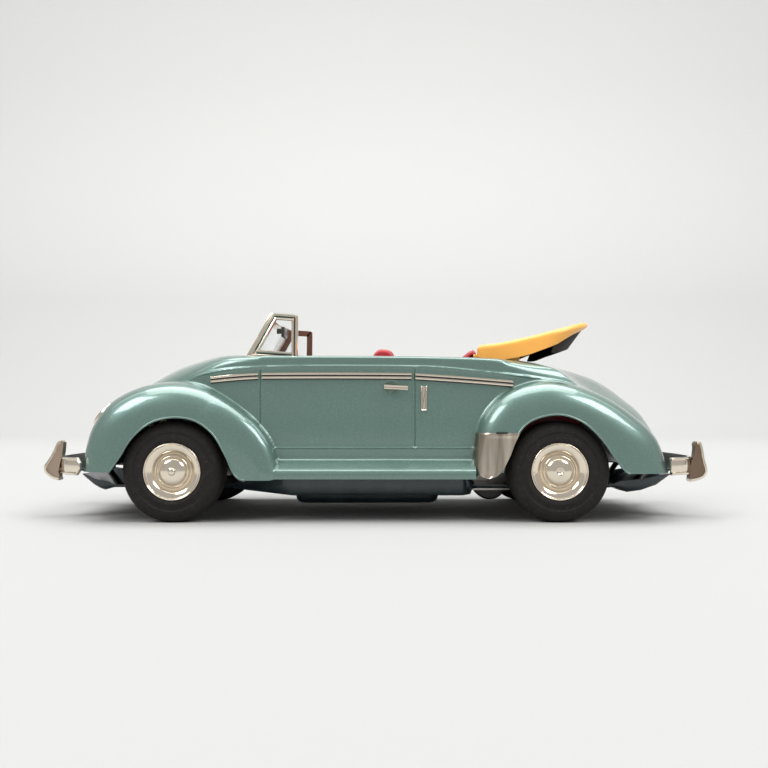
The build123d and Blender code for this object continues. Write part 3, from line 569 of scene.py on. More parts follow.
def teal_paint():
    """Metallic teal enamel: fine flakes, faint clouding, dust specks and a glossy coat."""
    made, tree, shader = material("teal_enamel", (0.12, 0.205, 0.175), metallic=0.5, rough=0.32, coat=1.0)
    flake = ramp(tree, flecks(tree, 5200.0), (0.0, (0.112, 0.196, 0.168)), (0.75, (0.138, 0.232, 0.202)),
                 (1.0, (0.190, 0.300, 0.265)))
    clouded = mixed(tree, patches(tree, 60.0, 4.0, 0.0, 0.35, 0.35, 0.7), flake, (0.130, 0.215, 0.186))
    dusty = mixed(tree, patches(tree, 900.0, 2.0, 0.0, 0.3, 0.72, 0.82), clouded, (0.28, 0.36, 0.33))
    tree.links.new(dusty, shader.inputs["Base Color"])
    tree.links.new(patches(tree, 140.0, 5.0, 0.26, 0.40), shader.inputs["Roughness"])
    bumped(tree, shader, noise(tree, 420.0, 3.0), 0.06, 0.0002, coat=True)
    return made


def pan_paint():
    """Dark glossy enamel under the car, with dust and scuffs."""
    return finish("dark_enamel", ((0.014, 0.026, 0.032), (0.040, 0.055, 0.058)),
                  clouds=(260.0, 6.0, 0.0, 0.6, 0.48, 0.78), sheen=(500.0, 4.0, 0.25, 0.5),
                  bump=(300.0, 3.0, 0.15, 0.0002), metallic=0.2, coat=0.6, coat_rough=0.12)


def nickel_plate(name="nickel_plate", tint=(0.80, 0.72, 0.60), rough=(0.08, 0.20)):
    """Warm nickel plating, bright with faint haze, a few specks of tarnish and soft waviness."""
    return finish(name, (tint, tuple(v * 0.80 for v in tint)), clouds=(90.0, 3.0, 0.0, 0.35, 0.42, 0.75),
                  sheen=(260.0, 3.0, *rough, 0.3, 0.75), bump=(70.0, 1.0, 0.08, 0.0004),
                  specks=(1100.0, 1.0, 0.0, 0.6, 0.74, 0.80, (0.26, 0.20, 0.15)), metallic=1.0)


def brushed_nickel():
    """Nickel plating brushed up and down, with darker streaks."""
    made, tree, shader = material("brushed_nickel", (0.50, 0.44, 0.36), metallic=1.0)
    coords = tree.nodes.new("ShaderNodeTexCoord")
    stretch = tree.nodes.new("ShaderNodeMapping")
    stretch.inputs["Scale"].default_value = (1.0, 1.0, 0.06)
    grain = tree.nodes.new("ShaderNodeTexNoise")
    grain.inputs["Scale"].default_value = 330.0
    grain.inputs["Detail"].default_value = 3.0
    tree.links.new(coords.outputs["Object"], stretch.inputs["Vector"])
    tree.links.new(stretch.outputs["Vector"], grain.inputs["Vector"])
    streak = ranged(tree, grain.outputs["Fac"], 0.0, 1.0, 0.38, 0.62)
    streaked = mixed(tree, streak, (0.66, 0.60, 0.50), (0.30, 0.25, 0.20))
    tree.links.new(streaked, shader.inputs["Base Color"])
    tree.links.new(ranged(tree, grain.outputs["Fac"], 0.20, 0.40), shader.inputs["Roughness"])
    bumped(tree, shader, noise(tree, 70.0, 1.0), 0.08, 0.0004)
    return made


def tyre_rubber():
    """Matte black rubber with pale dust and specks."""
    return finish("tyre_rubber", ((0.008, 0.0065, 0.0055), (0.030, 0.024, 0.019)),
                  clouds=(700.0, 6.0, 0.0, 0.7, 0.52, 0.80, 0.7), sheen=(500.0, 4.0, 0.60, 0.85),
                  bump=(1800.0, 4.0, 0.35, 0.0001),
                  specks=(2600.0, 2.0, 0.0, 0.7, 0.66, 0.76, (0.09, 0.075, 0.06)), specular=0.35)


def enamel(name, color, darker, rough=0.35, coat=0.5, metallic=0.0):
    """Plain enamel on tin: a little clouding, fine orange peel and a coat."""
    return finish(name, (color, darker), clouds=(120.0, 5.0, 0.0, 0.8, 0.35, 0.75),
                  sheen=(380.0, 4.0, rough - 0.08, rough + 0.12), bump=(520.0, 3.0, 0.12, 0.0002),
                  coat_bump=True, metallic=metallic, coat=coat, coat_rough=0.12)


def clear_sheet():
    """Thin clear sheet, very slightly hazy."""
    made, tree, shader = material("clear_sheet", (0.97, 0.98, 0.98))
    shader.inputs["Transmission Weight"].default_value = 1.0
    shader.inputs["IOR"].default_value = 1.30
    tree.links.new(patches(tree, 300.0, 5.0, 0.02, 0.10, 0.4, 0.8), shader.inputs["Roughness"])
    return made


def steel(name="drawn_steel", tint=(0.60, 0.58, 0.55)):
    """Plain steel with fine scratches and a little staining."""
    return finish(name, (tint, tuple(v * 0.55 for v in tint)), clouds=(240.0, 6.0, 0.0, 0.7, 0.45, 0.8),
                  sheen=(900.0, 5.0, 0.22, 0.48), bump=(1400.0, 3.0, 0.15, 0.0001), metallic=1.0)


# ---- piece builders ----

def grid_faces(rows, columns, closed_rows=False, closed_columns=False, capped=False):
    """Quads over a grid of points stored row by row, with the end rows filled if asked."""
    faces = []
    for i in range(rows if closed_rows else rows - 1):
        for j in range(columns if closed_columns else columns - 1):
            a, b = i * columns + j, i * columns + (j + 1) % columns
            c, d = ((i + 1) % rows) * columns + (j + 1) % columns, ((i + 1) % rows) * columns + j
            faces.append((a, b, c, d))
    if capped:
        faces.append(tuple(range(columns)))
        faces.append(tuple(range((rows - 1) * columns, rows * columns))[::-1])
    return faces


def tidy(obj):
    """Joins doubled points and turns every face outwards."""
    with editing(obj) as bm:
        bmesh.ops.remove_doubles(bm, verts=bm.verts, dist=0.004 * MM)
        bmesh.ops.recalc_face_normals(bm, faces=bm.faces)
    return obj


def add_piece(name, points, faces, skin, smooth=40.0):
    """A mesh object with its doubled points joined and its faces turned outwards."""
    obj = tidy(add_mesh(name, points, faces, skin, smooth))
    shade(obj, smooth)
    return obj


def apply_modifiers(obj):
    """Replaces the object's mesh by its mesh with the modifiers applied."""
    graph = bpy.context.evaluated_depsgraph_get()
    mesh = bpy.data.meshes.new_from_object(obj.evaluated_get(graph))
    obj.modifiers.clear()
    obj.data = mesh
    return obj


def node_copy(node, name, skin):
    """A loose copy of a CAD node's object with a finish."""
    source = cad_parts[node]
    obj = source.copy()
    obj.data = source.data.copy()
    obj.name = name
    bpy.context.scene.collection.objects.link(obj)
    obj.parent = None
    for key in list(obj.keys()):
        del obj[key]
    obj.hide_render = False
    obj.data.materials.clear()
    obj.data.materials.append(skin)
    return obj


def softened(node, width, body, slot, skin, smooth=35.0, segments=2):
    """A copy of a CAD node with rounded edges, standing for the node."""
    obj = node_copy(node, node + "_finished", skin)
    with editing(obj) as bm:
        bmesh.ops.remove_doubles(bm, verts=bm.verts, dist=0.002 * MM)
        bmesh.ops.dissolve_limit(bm, angle_limit=radians(0.5), verts=bm.verts, edges=bm.edges)
    bevel = obj.modifiers.new("edge", "BEVEL")
    bevel.width = width * MM
    bevel.segments = segments
    bevel.limit_method = "ANGLE"
    bevel.angle_limit = radians(smooth)
    apply_modifiers(obj)
    shade(obj, 30.0)
    return place(obj, body, slot, node)


def lathe(name, profile, skin, centre=(0, 0, 0), outward=1, aim=None, segments=96):
    """A turned piece of (outward, radius) points, its axis Y, left or right, or the direction of aim."""
    turns = np.linspace(0, 2 * pi, segments, endpoint=False)
    points = [(r * cos(t), out, r * sin(t)) for out, r in profile for t in turns]
    obj = add_mesh(name, points, grid_faces(len(profile), segments, closed_columns=True), skin, 40.0)
    if aim is None:
        turn = Matrix.Rotation(pi if outward < 0 else 0.0, 4, "Z")
    else:
        turn = Vector((0, 1, 0)).rotation_difference(Vector(aim)).to_matrix().to_4x4()
    obj.data.transform(Matrix.Translation(Vector(centre) * MM) @ turn)
    tidy(obj)
    shade(obj, 40.0)
    return obj


def arc_points(middle_x, middle_y, radius, start, end, steps):
    """Points on an arc between two angles in degrees."""
    angles = np.radians(np.linspace(start, end, steps))
    return [(middle_x + radius * cos(a), middle_y + radius * sin(a)) for a in angles]


def padded_outline(name, outline, y_middle, half_width, rounding, skin, steps=5, depth=None):
    """A solid with a given side view, its two edges rounded; depth may shift points by y."""
    ring = np.array(outline, float)
    middle = ring.mean(axis=0)
    size = np.abs(ring - middle).max()
    rows = []
    for side in (-1, 1):
        turns = np.linspace(pi / 2, 0, steps) if side < 0 else np.linspace(0, pi / 2, steps)
        for turn in turns:
            y = side * (half_width - rounding + rounding * sin(turn))
            shrink = 1 - rounding * (1 - cos(turn)) / size
            rows.append((y, middle + (ring - middle) * shrink))
        if side < 0:
            for y in np.linspace(-(half_width - rounding), half_width - rounding, 25)[1:-1]:
                rows.append((y, ring))
    points = []
    for y, loop in rows:
        for x, z in loop:
            lift = depth(x, y, z) if depth else 0.0
            points.append((x, y_middle + y, z + lift))
    return add_piece(name, points, grid_faces(len(rows), len(ring), closed_columns=True, capped=True), skin)


def mirrored_copy(obj, name):
    """The same piece on the other side of the car."""
    other = obj.copy()
    other.data = obj.data.copy()
    other.name = name
    bpy.context.scene.collection.objects.link(other)
    other.data.transform(Matrix.Scale(-1, 4, (0, 1, 0)))
    other.data.flip_normals()
    shade(other, 40.0)
    return other


def both_sides(obj, stem, body, slot, *nodes):
    """Places a left piece and its mirror image, each standing for its own CAD nodes."""
    obj.name = stem + "_left"
    other = mirrored_copy(obj, stem + "_right")
    place(obj, body, slot, *[node + "_left" for node in nodes])
    place(other, body, slot, *[node + "_right" for node in nodes])
    return obj, other


def rounded_loop(corners, radius, steps=4):
    """A closed polygon with each corner replaced by an arc-like run of points."""
    loop = []
    count = len(corners)
    for i, corner in enumerate(corners):
        here = np.array(corner, float)
        ways = []
        for other in (corners[i - 1], corners[(i + 1) % count]):
            way = np.array(other, float) - here
            ways.append(way / max(np.hypot(*way), 1e-9))
        start, end = here + ways[0] * radius, here + ways[1] * radius
        for t in np.linspace(0, 1, steps):
            loop.append((1 - t) ** 2 * start + 2 * t * (1 - t) * here + t ** 2 * end)
    return np.array(loop)


def divided(loop, length):
    """A closed loop with its long sides divided into equal parts, about as long as asked."""
    points = []
    for i, here in enumerate(loop):
        there = loop[(i + 1) % len(loop)]
        count = max(1, int(round(np.hypot(*(there - here)) / length)))
        points += [here + (there - here) * t for t in np.arange(count) / count]
    return np.array(points)


def inset(loop, distance):
    """A closed loop moved inwards by a distance, corners mitred."""
    ahead = np.roll(loop, -1, axis=0) - loop
    ahead /= np.maximum(np.hypot(ahead[:, 0], ahead[:, 1]), 1e-9)[:, None]
    normal = np.stack([-ahead[:, 1], ahead[:, 0]], axis=1)
    area = np.sum(loop[:, 0] * np.roll(loop[:, 1], -1) - np.roll(loop[:, 0], -1) * loop[:, 1])
    normal *= 1 if area > 0 else -1
    mitre = normal + np.roll(normal, 1, axis=0)
    mitre *= (2 / np.maximum(np.sum(mitre * mitre, axis=1), 0.5))[:, None]
    return loop + mitre * distance


def ring_piece(name, loop, rings, to_space, skin, filled=False, smooth=40.0):
    """A piece made of nested rings: each is the loop moved in by one number and raised by the other."""
    points = []
    for move, height in rings:
        points += [to_space(u, v, height) for u, v in inset(loop, move)]
    faces = grid_faces(len(rings), len(loop), closed_rows=not filled, closed_columns=True, capped=filled)
    return add_piece(name, points, faces, skin, smooth)


def swept(name, stations, section, skin, smooth=40.0):
    """A section of (out, up) points carried along stations of (place, out direction, up direction)."""
    points = []
    for place_at, out, up in stations:
        for a, b in section:
            points.append([p + o * a + u * b for p, o, u in zip(place_at, out, up)])
    faces = grid_faces(len(stations), len(section), closed_columns=True, capped=True)
    return add_piece(name, points, faces, skin, smooth)


def joined(first, *others):
    """Several meshes as one object, with the first one's name."""
    with editing(first) as bm:
        for other in others:
            bm.from_mesh(other.data)
            bpy.data.objects.remove(other)
    return first


def thickened(obj, thickness, inner=None):
    """A sheet given a thickness on its inner side, which may have another finish."""
    solid = obj.modifiers.new("sheet", "SOLIDIFY")
    solid.thickness = thickness * MM
    solid.offset = -1
    solid.use_rim = True
    if inner:
        obj.data.materials.append(inner)
        solid.material_offset = 1
    apply_modifiers(obj)
    shade(obj, 40.0)
    return obj


# ---- wheels ----

WHEEL_SEGMENTS = 112


def tyre_profile():
    """A tyre's section from the inner bead round the tread: (outward, radius)."""
    half = [(3.7, 7.62), (4.2, 7.9), (4.5, 8.5), (4.55, 9.2), (4.40, 9.45), (4.40, 10.5), (4.58, 10.7),
            (4.55, 11.3), (4.40, 12.0), (4.05, 12.85), (3.50, 13.42), (2.85, 13.74), (2.40, 13.8),
            (2.30, 13.5), (2.05, 13.5), (1.95, 13.8), (0.95, 13.8), (0.85, 13.5), (0.60, 13.5),
            (0.50, 13.8)]
    return half + [(-out, r) for out, r in half[::-1]]


def hub_profile(nub):
    """The plated hub's section: a dome, a deep groove, a broad rolled rim, then the boss behind."""
    if nub:
        centre = [(5.05, 0.0), (5.0, 0.45), (4.8, 0.85), (4.45, 1.05), (4.38, 1.3)]
    else:
        centre = [(4.15, 0.0), (4.22, 0.45), (4.5, 0.8), (4.60, 1.1), (4.48, 1.5)]
    cap = centre + [(4.25, 2.2), (3.95, 3.0), (3.55, 3.5), (3.2, 3.72), (3.15, 3.85), (3.45, 4.05),
                    (3.5, 4.2), (3.25, 4.45), (2.6, 4.65), (2.4, 4.9), (2.55, 5.15), (3.05, 5.45),
                    (3.5, 5.9), (3.8, 6.4), (3.98, 6.9), (4.02, 7.25), (4.3, 7.45), (4.45, 7.62), (4.3, 7.8),
                    (3.9, 7.8), (3.6, 7.6)]
    smooth_cap = [tuple(p) for p in smooth_line(cap, 3)]
    back = [(-4.1, 7.6), (-4.1, 7.1), (2.0, 7.1), (1.8, 2.5), (-4.5, 2.4), (-4.5, 1.05)]
    return smooth_cap + back


def add_wheels(rubber, plate):
    """Four tyres and four hubs."""
    section = tyre_profile()
    for end, x in (("front", FRONT_X), ("rear", REAR_X)):
        cap = hub_profile(nub=end == "front")
        for side, outward in (("left", -1), ("right", 1)):
            centre = (x, outward * TYRE_Y, AXLE_Z)
            tyre = lathe(f"{end}_tyre_{side}_rubber", section + section[:1], rubber, centre, outward,
                         segments=WHEEL_SEGMENTS)
            place(tyre, f"{end}_wheels", "tyre_rubber", f"{end}_tyre_{side}")
            hub = lathe(f"{end}_hub_{side}_cap", cap, plate, centre, outward, segments=WHEEL_SEGMENTS)
            place(hub, f"{end}_wheels", "nickel", f"{end}_hub_{side}")


# ---- windshield ----

SIDE_WINDOW = [(-36.2, 45.9), (-29.3, 58.2), (-22.1, 57.7), (-22.2, 45.0)]
SCREEN_Y = 24.3
SCREEN_FOOT = (-36.2, 45.9)
SCREEN_HEAD = (-29.3, 58.2)
SCREEN_BOW = 2.4
CHANNEL = [(0.0, -0.55), (0.0, 0.30), (0.20, 0.58), (0.62, 0.62), (0.80, 0.45), (0.86, -0.25), (1.12, -0.25),
           (1.18, 0.42), (1.40, 0.55), (1.70, 0.42), (1.88, 0.05), (1.88, -0.55)]
CHANNEL_SHADE_SECTION = [(0.83, -0.25), (0.83, 0.26), (1.13, 0.26), (1.13, -0.25)]
# Section of a black strip that sits in the frame's channel: painted shade in the groove.
PANE = [(0.0, -0.2), (0.0, -0.08)]


def on_left_side(u, v, out):
    """A point of the left side window's plane."""
    return (u, -SCREEN_Y - out, v)


def on_screen(u, v, out):
    """A point of the bowed, raked screen: across, up its slope and forwards."""
    (foot_x, foot_z), (head_x, head_z) = SCREEN_FOOT, SCREEN_HEAD
    length = hypot(head_x - foot_x, head_z - foot_z)
    lean_x, lean_z = (head_x - foot_x) / length, (head_z - foot_z) / length
    bow = SCREEN_BOW * (1 - (u / SCREEN_Y) ** 2)
    return (foot_x + lean_x * v - bow - lean_z * out, u, foot_z + lean_z * v + lean_x * out)


def add_windshield(plate, painted_reflection, clear, dark):
    """The plated screen frame with its side windows, the three panes and the mirror."""
    side_loop = rounded_loop(SIDE_WINDOW, 0.9)
    left = ring_piece("windshield_channel", side_loop, CHANNEL, on_left_side, plate)
    # The frame's faces turned in towards the cabin take the brown nickel: painted reflection of the dark
    # interior.
    left.data.materials.append(painted_reflection)
    for face in left.data.polygons:
        if face.normal.y > 0.5:
            face.material_index = 1
    right = mirrored_copy(left, "side_window_right")
    # A black strip in the channel's groove, as painted shade.
    frame_shade = ring_piece("window_channel_shade", side_loop, CHANNEL_SHADE_SECTION, on_left_side, dark)
    both_sides(frame_shade, "window_channel_shade", "car", "nickel")
    height = hypot(SCREEN_HEAD[0] - SCREEN_FOOT[0], SCREEN_HEAD[1] - SCREEN_FOOT[1])
    outer = [(-SCREEN_Y, -0.6), (SCREEN_Y, -0.6), (SCREEN_Y, height), (-SCREEN_Y, height)]
    loop = divided(rounded_loop(outer, 0.8), 1.6)
    front = ring_piece("screen_front", loop, CHANNEL, on_screen, plate)
    place(joined(left, right, front), "car", "nickel", "windshield_frame")

    place(screen_glass(height, clear), "car", "clear_sheet", "windshield_pane")
    side_pane = rounded_loop(inset(np.array(SIDE_WINDOW), 1.5), 0.3)
    glass = ring_piece("quarter_pane_left", side_pane, PANE, on_left_side, clear, filled=True)
    other = mirrored_copy(glass, "quarter_pane_right")
    glass.name = "quarter_glass"
    place(joined(glass, other), "car", "clear_sheet", "quarter_panes")
    mirror_piece = softened("rear_view_mirror", 0.3, "car", "nickel", plate)
    mirror_piece.data.materials[0] = dark


def screen_glass(height, clear):
    """The bowed pane as a thin sheet that follows the screen."""
    across = np.linspace(-SCREEN_Y + 1.1, SCREEN_Y - 1.1, 41)
    rise = np.linspace(0.4, height - 1.1, 7)
    points = [on_screen(u, v, 0.0) for u in across for v in rise]
    sheet = add_mesh("screen_glass", points, grid_faces(len(across), len(rise)), clear)
    return thickened(sheet, 0.15)


# ---- folded top ----

TOP_Y = 22.5
TOP_FRONT_X, TOP_REAR_X = 28.3, 63.8
TOP_ROUND = 15.0
TOP_HOLLOW = 7.0
LINING_FRONT_X = 51.0
top_height = along([(27.0, 48.9), (28.9, 49.3), (35.3, 50.0), (43.7, 51.7), (52.2, 53.9), (57.0, 55.3),
                    (61.0, 56.5), (64.5, 57.5)])
top_foot = along([(27.0, 46.6), (28.4, 46.1), (30.2, 45.5), (33.6, 44.9), (37.0, 45.1), (41.4, 45.9),
                  (46.8, 47.3), (54.5, 49.5), (57.0, 50.9), (60.0, 52.9), (64.5, 55.4)])


def top_plan(shrink):
    """The folded top's plan loop: square in front and rounded behind, moved in by a distance."""
    half, rear, front = TOP_Y - shrink, TOP_REAR_X - shrink, TOP_FRONT_X + shrink
    radius = max(TOP_ROUND - shrink, 0.5)
    corner = max(1.6 - shrink, 0.3)
    loop = []
    rear_x, front_x = rear - radius, front + corner
    for x, side, r, start, count in ((rear_x, 1, radius, 0, 18), (front_x, 1, corner, 90, 5),
                                     (front_x, -1, corner, 180, 5), (rear_x, -1, radius, 270, 18)):
        loop += arc_points(x, side * (half - r), r, start, start + 90, count)
    return divided(np.array(loop), 1.5)


def top_wall(name, shrink, foot, roof, skin, lean=1.1, rounding=1.4, closed=True):
    """A wall round the top's plan that turns over into the roof."""
    loop = top_plan(shrink)
    rows = []
    rear_share = np.clip((loop[:, 0] - 44.0) / 16.0, 0, 1)
    for t in np.linspace(0, 1, 9):
        low, high = foot(loop[:, 0]), roof(loop[:, 0]) - rounding
        z = low + (high - low) * t
        x = loop[:, 0] - lean * rear_share * (high - z)
        rows.append(np.stack([x, loop[:, 1], z], axis=1))
    if closed:
        middle = np.array([44.0, 0.0])
        for turn in np.linspace(0.18, pi / 2, 6):
            ring = top_plan(shrink + rounding * (1 - cos(turn)))
            rows.append(np.column_stack([ring, roof(ring[:, 0]) - rounding + rounding * sin(turn)]))
        last = rows[-1]
        for share in (0.85, 0.7, 0.5, 0.3, 0.15, 0.03):
            flat = middle + (last[:, :2] - middle) * share
            crown = 0.5 * (1 - (flat[:, 1] / TOP_Y) ** 2)
            rows.append(np.column_stack([flat, roof(flat[:, 0]) + crown * (1 - share)]))
    for row in rows:
        row[:, 0] += TOP_HOLLOW * (1 - (row[:, 1] / TOP_Y) ** 2) * np.clip((43.0 - row[:, 0]) / 14.0, 0, 1)
    points = [tuple(p) for row in rows for p in row]
    count = len(loop)
    faces = grid_faces(len(rows), count, closed_columns=True)
    if closed:
        faces.append(tuple(range((len(rows) - 1) * count, len(rows) * count)))
    return tidy(add_mesh(name, points, faces, skin))


def add_folded_top(orange, dark):
    """The folded top as a thin pressing open below, its inner side near-black as painted shade, a dark rear
    lining whose near-black colour is painted shade, and the boot under it.
    """
    top = top_wall("folded_top_pressing", 0.0, top_foot, top_height, orange)
    # The inner side is near-black brown: painted shade inside the hollow top.
    thickened(top, 0.7, dark)
    place(top, "car", "orange_paint", "folded_top")

    lining_foot = along([(52.0, 47.2), (56.0, 47.2), (60.0, 48.2), (63.5, 49.4)])
    lining = top_wall("folded_top_lining", 1.5, lining_foot, lambda x: top_height(x) - 0.4, dark, lean=0.75,
                      closed=False)
    with editing(lining) as bm:
        front_part = [f for f in bm.faces if f.calc_center_median().x < LINING_FRONT_X * MM]
        bmesh.ops.delete(bm, geom=front_part, context="FACES")
    thickened(lining, 0.4)
    place(lining, "car", "orange_paint")
    softened("top_boot", 0.5, "car", "orange_paint", orange, segments=3)


# ---- rolled arch lips ----

def add_arch_lips(paint):
    """A thin rolled bead along each wheel arch's edge."""
    bead = [(0.3 * cos(a), 0.3 * sin(a)) for a in np.linspace(0, 2 * pi, 10, endpoint=False)]
    for end, line in (("front", FRONT_ARCH), ("rear", REAR_ARCH)):
        y = side_y(line[:, 0], line[:, 1] + 0.2)
        ways = np.gradient(line, axis=0)
        stations = []
        for (x, z), half, way in zip(line, y, ways):
            up = Vector((-way[1], 0, way[0])).normalized()
            stations.append(((x, -half + 0.05, z), (0, -1, 0), up))
        both_sides(swept(end + "_arch_lip", stations, bead, paint), end + "_arch_lip", "car", "teal_paint")


# ---- plated trim ----

BEADED = [(-0.3, -0.88), (0.30, -0.88), (0.50, -0.80), (0.60, -0.52), (0.52, -0.24), (0.06, -0.16),
          (0.06, 0.16), (0.52, 0.24), (0.60, 0.52), (0.50, 0.80), (0.30, 0.88), (-0.3, 0.88)]
TRIM_BOW = 0.4
TRIM_LIFT = 0.12
TRIM_ENDS = {"trim_fender": ((-46.1, 39.0), (-32.5, 40.0)), "trim_door": ((-31.5, 40.05), (9.9, 40.0)),
             "trim_rear": ((11.0, 39.9), (38.1, 37.9))}
# Sections of black strips: painted shade in the strip's groove, and a painted shadow line just below the
# strip.
GROOVE_SHADE = [(-0.1, -0.15), (0.16, -0.15), (0.16, 0.15), (-0.1, 0.15)]
SHADOW_LINE = [(-0.1, -1.12), (0.16, -1.12), (0.16, -0.86), (-0.1, -0.86)]


def side_stations(points, lift=0.0):
    """Stations on the left side of the body at points in the side view, with the surface's own directions."""
    points = np.array(points, float)
    x, z = points[:, 0], points[:, 1]
    y = side_y(x, z)
    slope_z = (side_y(x, z + 0.4) - side_y(x, z - 0.4)) / 0.8
    stations = []
    for px, py, pz, slope in zip(x, y, z, slope_z):
        out = Vector((0, -1, -slope)).normalized()
        up = Vector((0, -slope, 1)).normalized()
        stations.append(((px + out.x * lift, -py + out.y * lift, pz + out.z * lift), out, up))
    return stations


def trim_line(start, end):
    """Stations of a strip along the left side."""
    t = np.linspace(0, 1, max(6, int((end[0] - start[0]) / 1.2)))[:, None]
    line = np.array(start) * (1 - t) + np.array(end) * t
    line[:, 1] += TRIM_BOW * (t * (1 - t))[:, 0]
    return side_stations(line, TRIM_LIFT)


def add_belt_strips(plate, dark):
    """Beaded strips in three lengths along each side, with black painted shade in the groove and a painted
    shadow line below.
    """
    for node, (start, end) in TRIM_ENDS.items():
        stations = trim_line(start, end)
        both_sides(swept(node, stations, BEADED, plate), node + "_strip", "car", "nickel", node)
        # Black strips: painted shade in the groove and a painted shadow line below the strip.
        groove, line = (swept(node + "_groove_shade", stations, section, dark) for section in (GROOVE_SHADE, SHADOW_LINE))
        both_sides(joined(groove, line), node + "_shade_lines", "car", "nickel")


def add_door_handles(plate):
    """A bowed grip on a domed base, on each door."""
    start, end = 2.3, 8.9
    line = [((x, -31.3 - 0.25 * sin(pi * (x - start) / (end - start)), 36.98 - 0.05 * (x - start)),
             (0, -1, 0), (0, 0, 1)) for x in np.linspace(start, end, 12)]
    grip = swept("door_grip", line, [(a - 0.3, b * 0.72) for a, b in BEADED], plate)
    section = [(-0.4, 0.0), (-0.4, 1.0), (0.2, 1.0), (0.6, 0.8), (1.2, 0.6), (1.2, 0.0)]
    dome = lathe("door_handle_base", section, plate, (4.2, -SIDE_Y, 36.9), -1, segments=32)
    both_sides(joined(grip, dome), "door_pull", "car", "nickel", "door_handle")


def add_uprights(plate):
    """A flat plate with turned-up ends behind each door."""
    low, high = 30.4, 37.2
    plan = divided(rounded_loop([(12.45, low), (14.25, low), (14.25, high), (12.45, high)], 0.25, 3), 0.8)

    def on_side(u, v, out):
        tip = 0.35 * max(0.0, (abs(v - (low + high) / 2) - 2.9) / 0.5)
        return (u, -SIDE_Y - out - (tip if out > 0 else 0), v)

    rings = [(0.0, -0.4), (0.0, 0.30), (0.10, 0.42), (0.30, 0.42), (0.42, 0.16)]
    upright = ring_piece("semaphore_plate", plan, rings, on_side, plate, filled=True)
    both_sides(upright, "semaphore_trim", "car", "nickel", "semaphore")


GUARD_FRONT = ([12.0, 12.6, 13.6, 16.4, 20.0, 24.3], [30.3, 28.7, 27.8, 27.2, 27.2, 27.9])
GUARD_REAR = ([12.0, 12.6, 14.3, 18.3, 21.0, 24.3], [30.8, 32.7, 34.4, 36.4, 37.4, 38.95])


def rear_fender_gap(x, y, z):
    """How far a point is outside the rear fender, about."""
    return fender_gap("rear", x, y, z)


def add_stone_guards(plate, dark):
    """Plated sheets wrapped round the front of the rear fenders, each with a small black bar standing for a
    slot as painted shade.
    """
    rows, columns = 30, 30
    step, lift = 0.04, 0.40
    points = []
    for z in np.linspace(24.3, 12.0, rows):
        front, rear = np.interp(z, *GUARD_FRONT), np.interp(z, *GUARD_REAR)
        x = front + (rear - front) * np.linspace(0, 1, columns) ** 1.4
        y = side_y(x, z, rear_fender_gap)
        slope = (side_y(x + step, z, rear_fender_gap) - side_y(x - step, z, rear_fender_gap)) / (2 * step)
        norm = np.sqrt(1 + slope ** 2)
        share = np.linspace(0, 1, columns)
        out = lift + 0.14 * ridge(z - 23.7, 0.45) - 0.30 * ridge(share - 0.60, 0.20)
        points += [(px - o * m / n, -(py + o / n), z) for px, py, o, m, n in zip(x, y, out, slope, norm)]
    guard = tidy(add_mesh("stone_guard_sheet", points, grid_faces(rows, columns), plate))
    if sum(face.normal.y for face in guard.data.polygons) > 0:
        guard.data.flip_normals()
    thickened(guard, 0.4)
    both_sides(guard, "stone_guard_plate", "car", "nickel", "stone_guard")
    # A black bar stands in for a small slot: painted shade.
    stations = [((x, -float(side_y(x, 24.35, rear_fender_gap)) - 0.45, 24.35), (0, -1, 0), (0, 0, 1))
                for x in np.linspace(32.6, 35.6, 6)]
    slot = swept("guard_slot_shade", stations, [(-0.4, -0.2), (0.12, -0.2), (0.12, 0.2), (-0.4, 0.2)], dark)
    both_sides(slot, "guard_slot_shade", "car", "nickel")


# ---- lamps ----

LAMP_AT = (-75.5, -25.2, 29.2)
LAMP_TILT = radians(41.0)
TAIL_LAMP_AT = (77.75, -24.6, 23.2)
TAIL_LAMP_AIM = (0.80, 0.0, 0.60)


def add_headlights(plate, clear):
    """Plated rings with a reflector and a fluted lens in each front fender."""
    aim = (-cos(LAMP_TILT), 0.0, sin(LAMP_TILT))
    ring = lathe("headlight_ring", [(-3.2, 4.5), (-0.2, 4.75), (0.5, 4.78), (1.0, 4.6), (1.25, 4.3),
                                    (1.2, 4.0), (0.9, 3.85), (0.3, 3.85), (-3.2, 3.8),
                                    (-3.2, 4.5)], plate, LAMP_AT, aim=aim)
    both_sides(ring, "headlight_ring", "car", "nickel", "headlight_bezel")
    section = [(-1.6, 0.0), (-1.5, 1.4), (-1.0, 2.7), (0.2, 3.87)]
    dish = lathe("headlight_dish", section, plate, LAMP_AT, aim=aim)
    both_sides(dish, "headlight_dish", "car", "nickel")
    profile = [(1.95, 0.02), (1.92, 0.8), (1.8, 1.6), (1.6, 2.4), (1.3, 3.2), (0.95, 3.88), (0.6, 3.88),
               (1.0, 3.0), (1.45, 1.6), (1.6, 0.02)]
    lens = lathe("headlight_glass", [tuple(p) for p in smooth_line(profile, 4)], clear, LAMP_AT, aim=aim)
    for vert in lens.data.vertices:
        side = vert.co.y / MM - LAMP_AT[1]
        for axis in (0, 2):
            vert.co[axis] += aim[axis] * 0.07 * MM * cos(2 * pi * side / 0.95)
    both_sides(lens, "headlight_glass", "car", "clear_sheet", "headlight_lens")


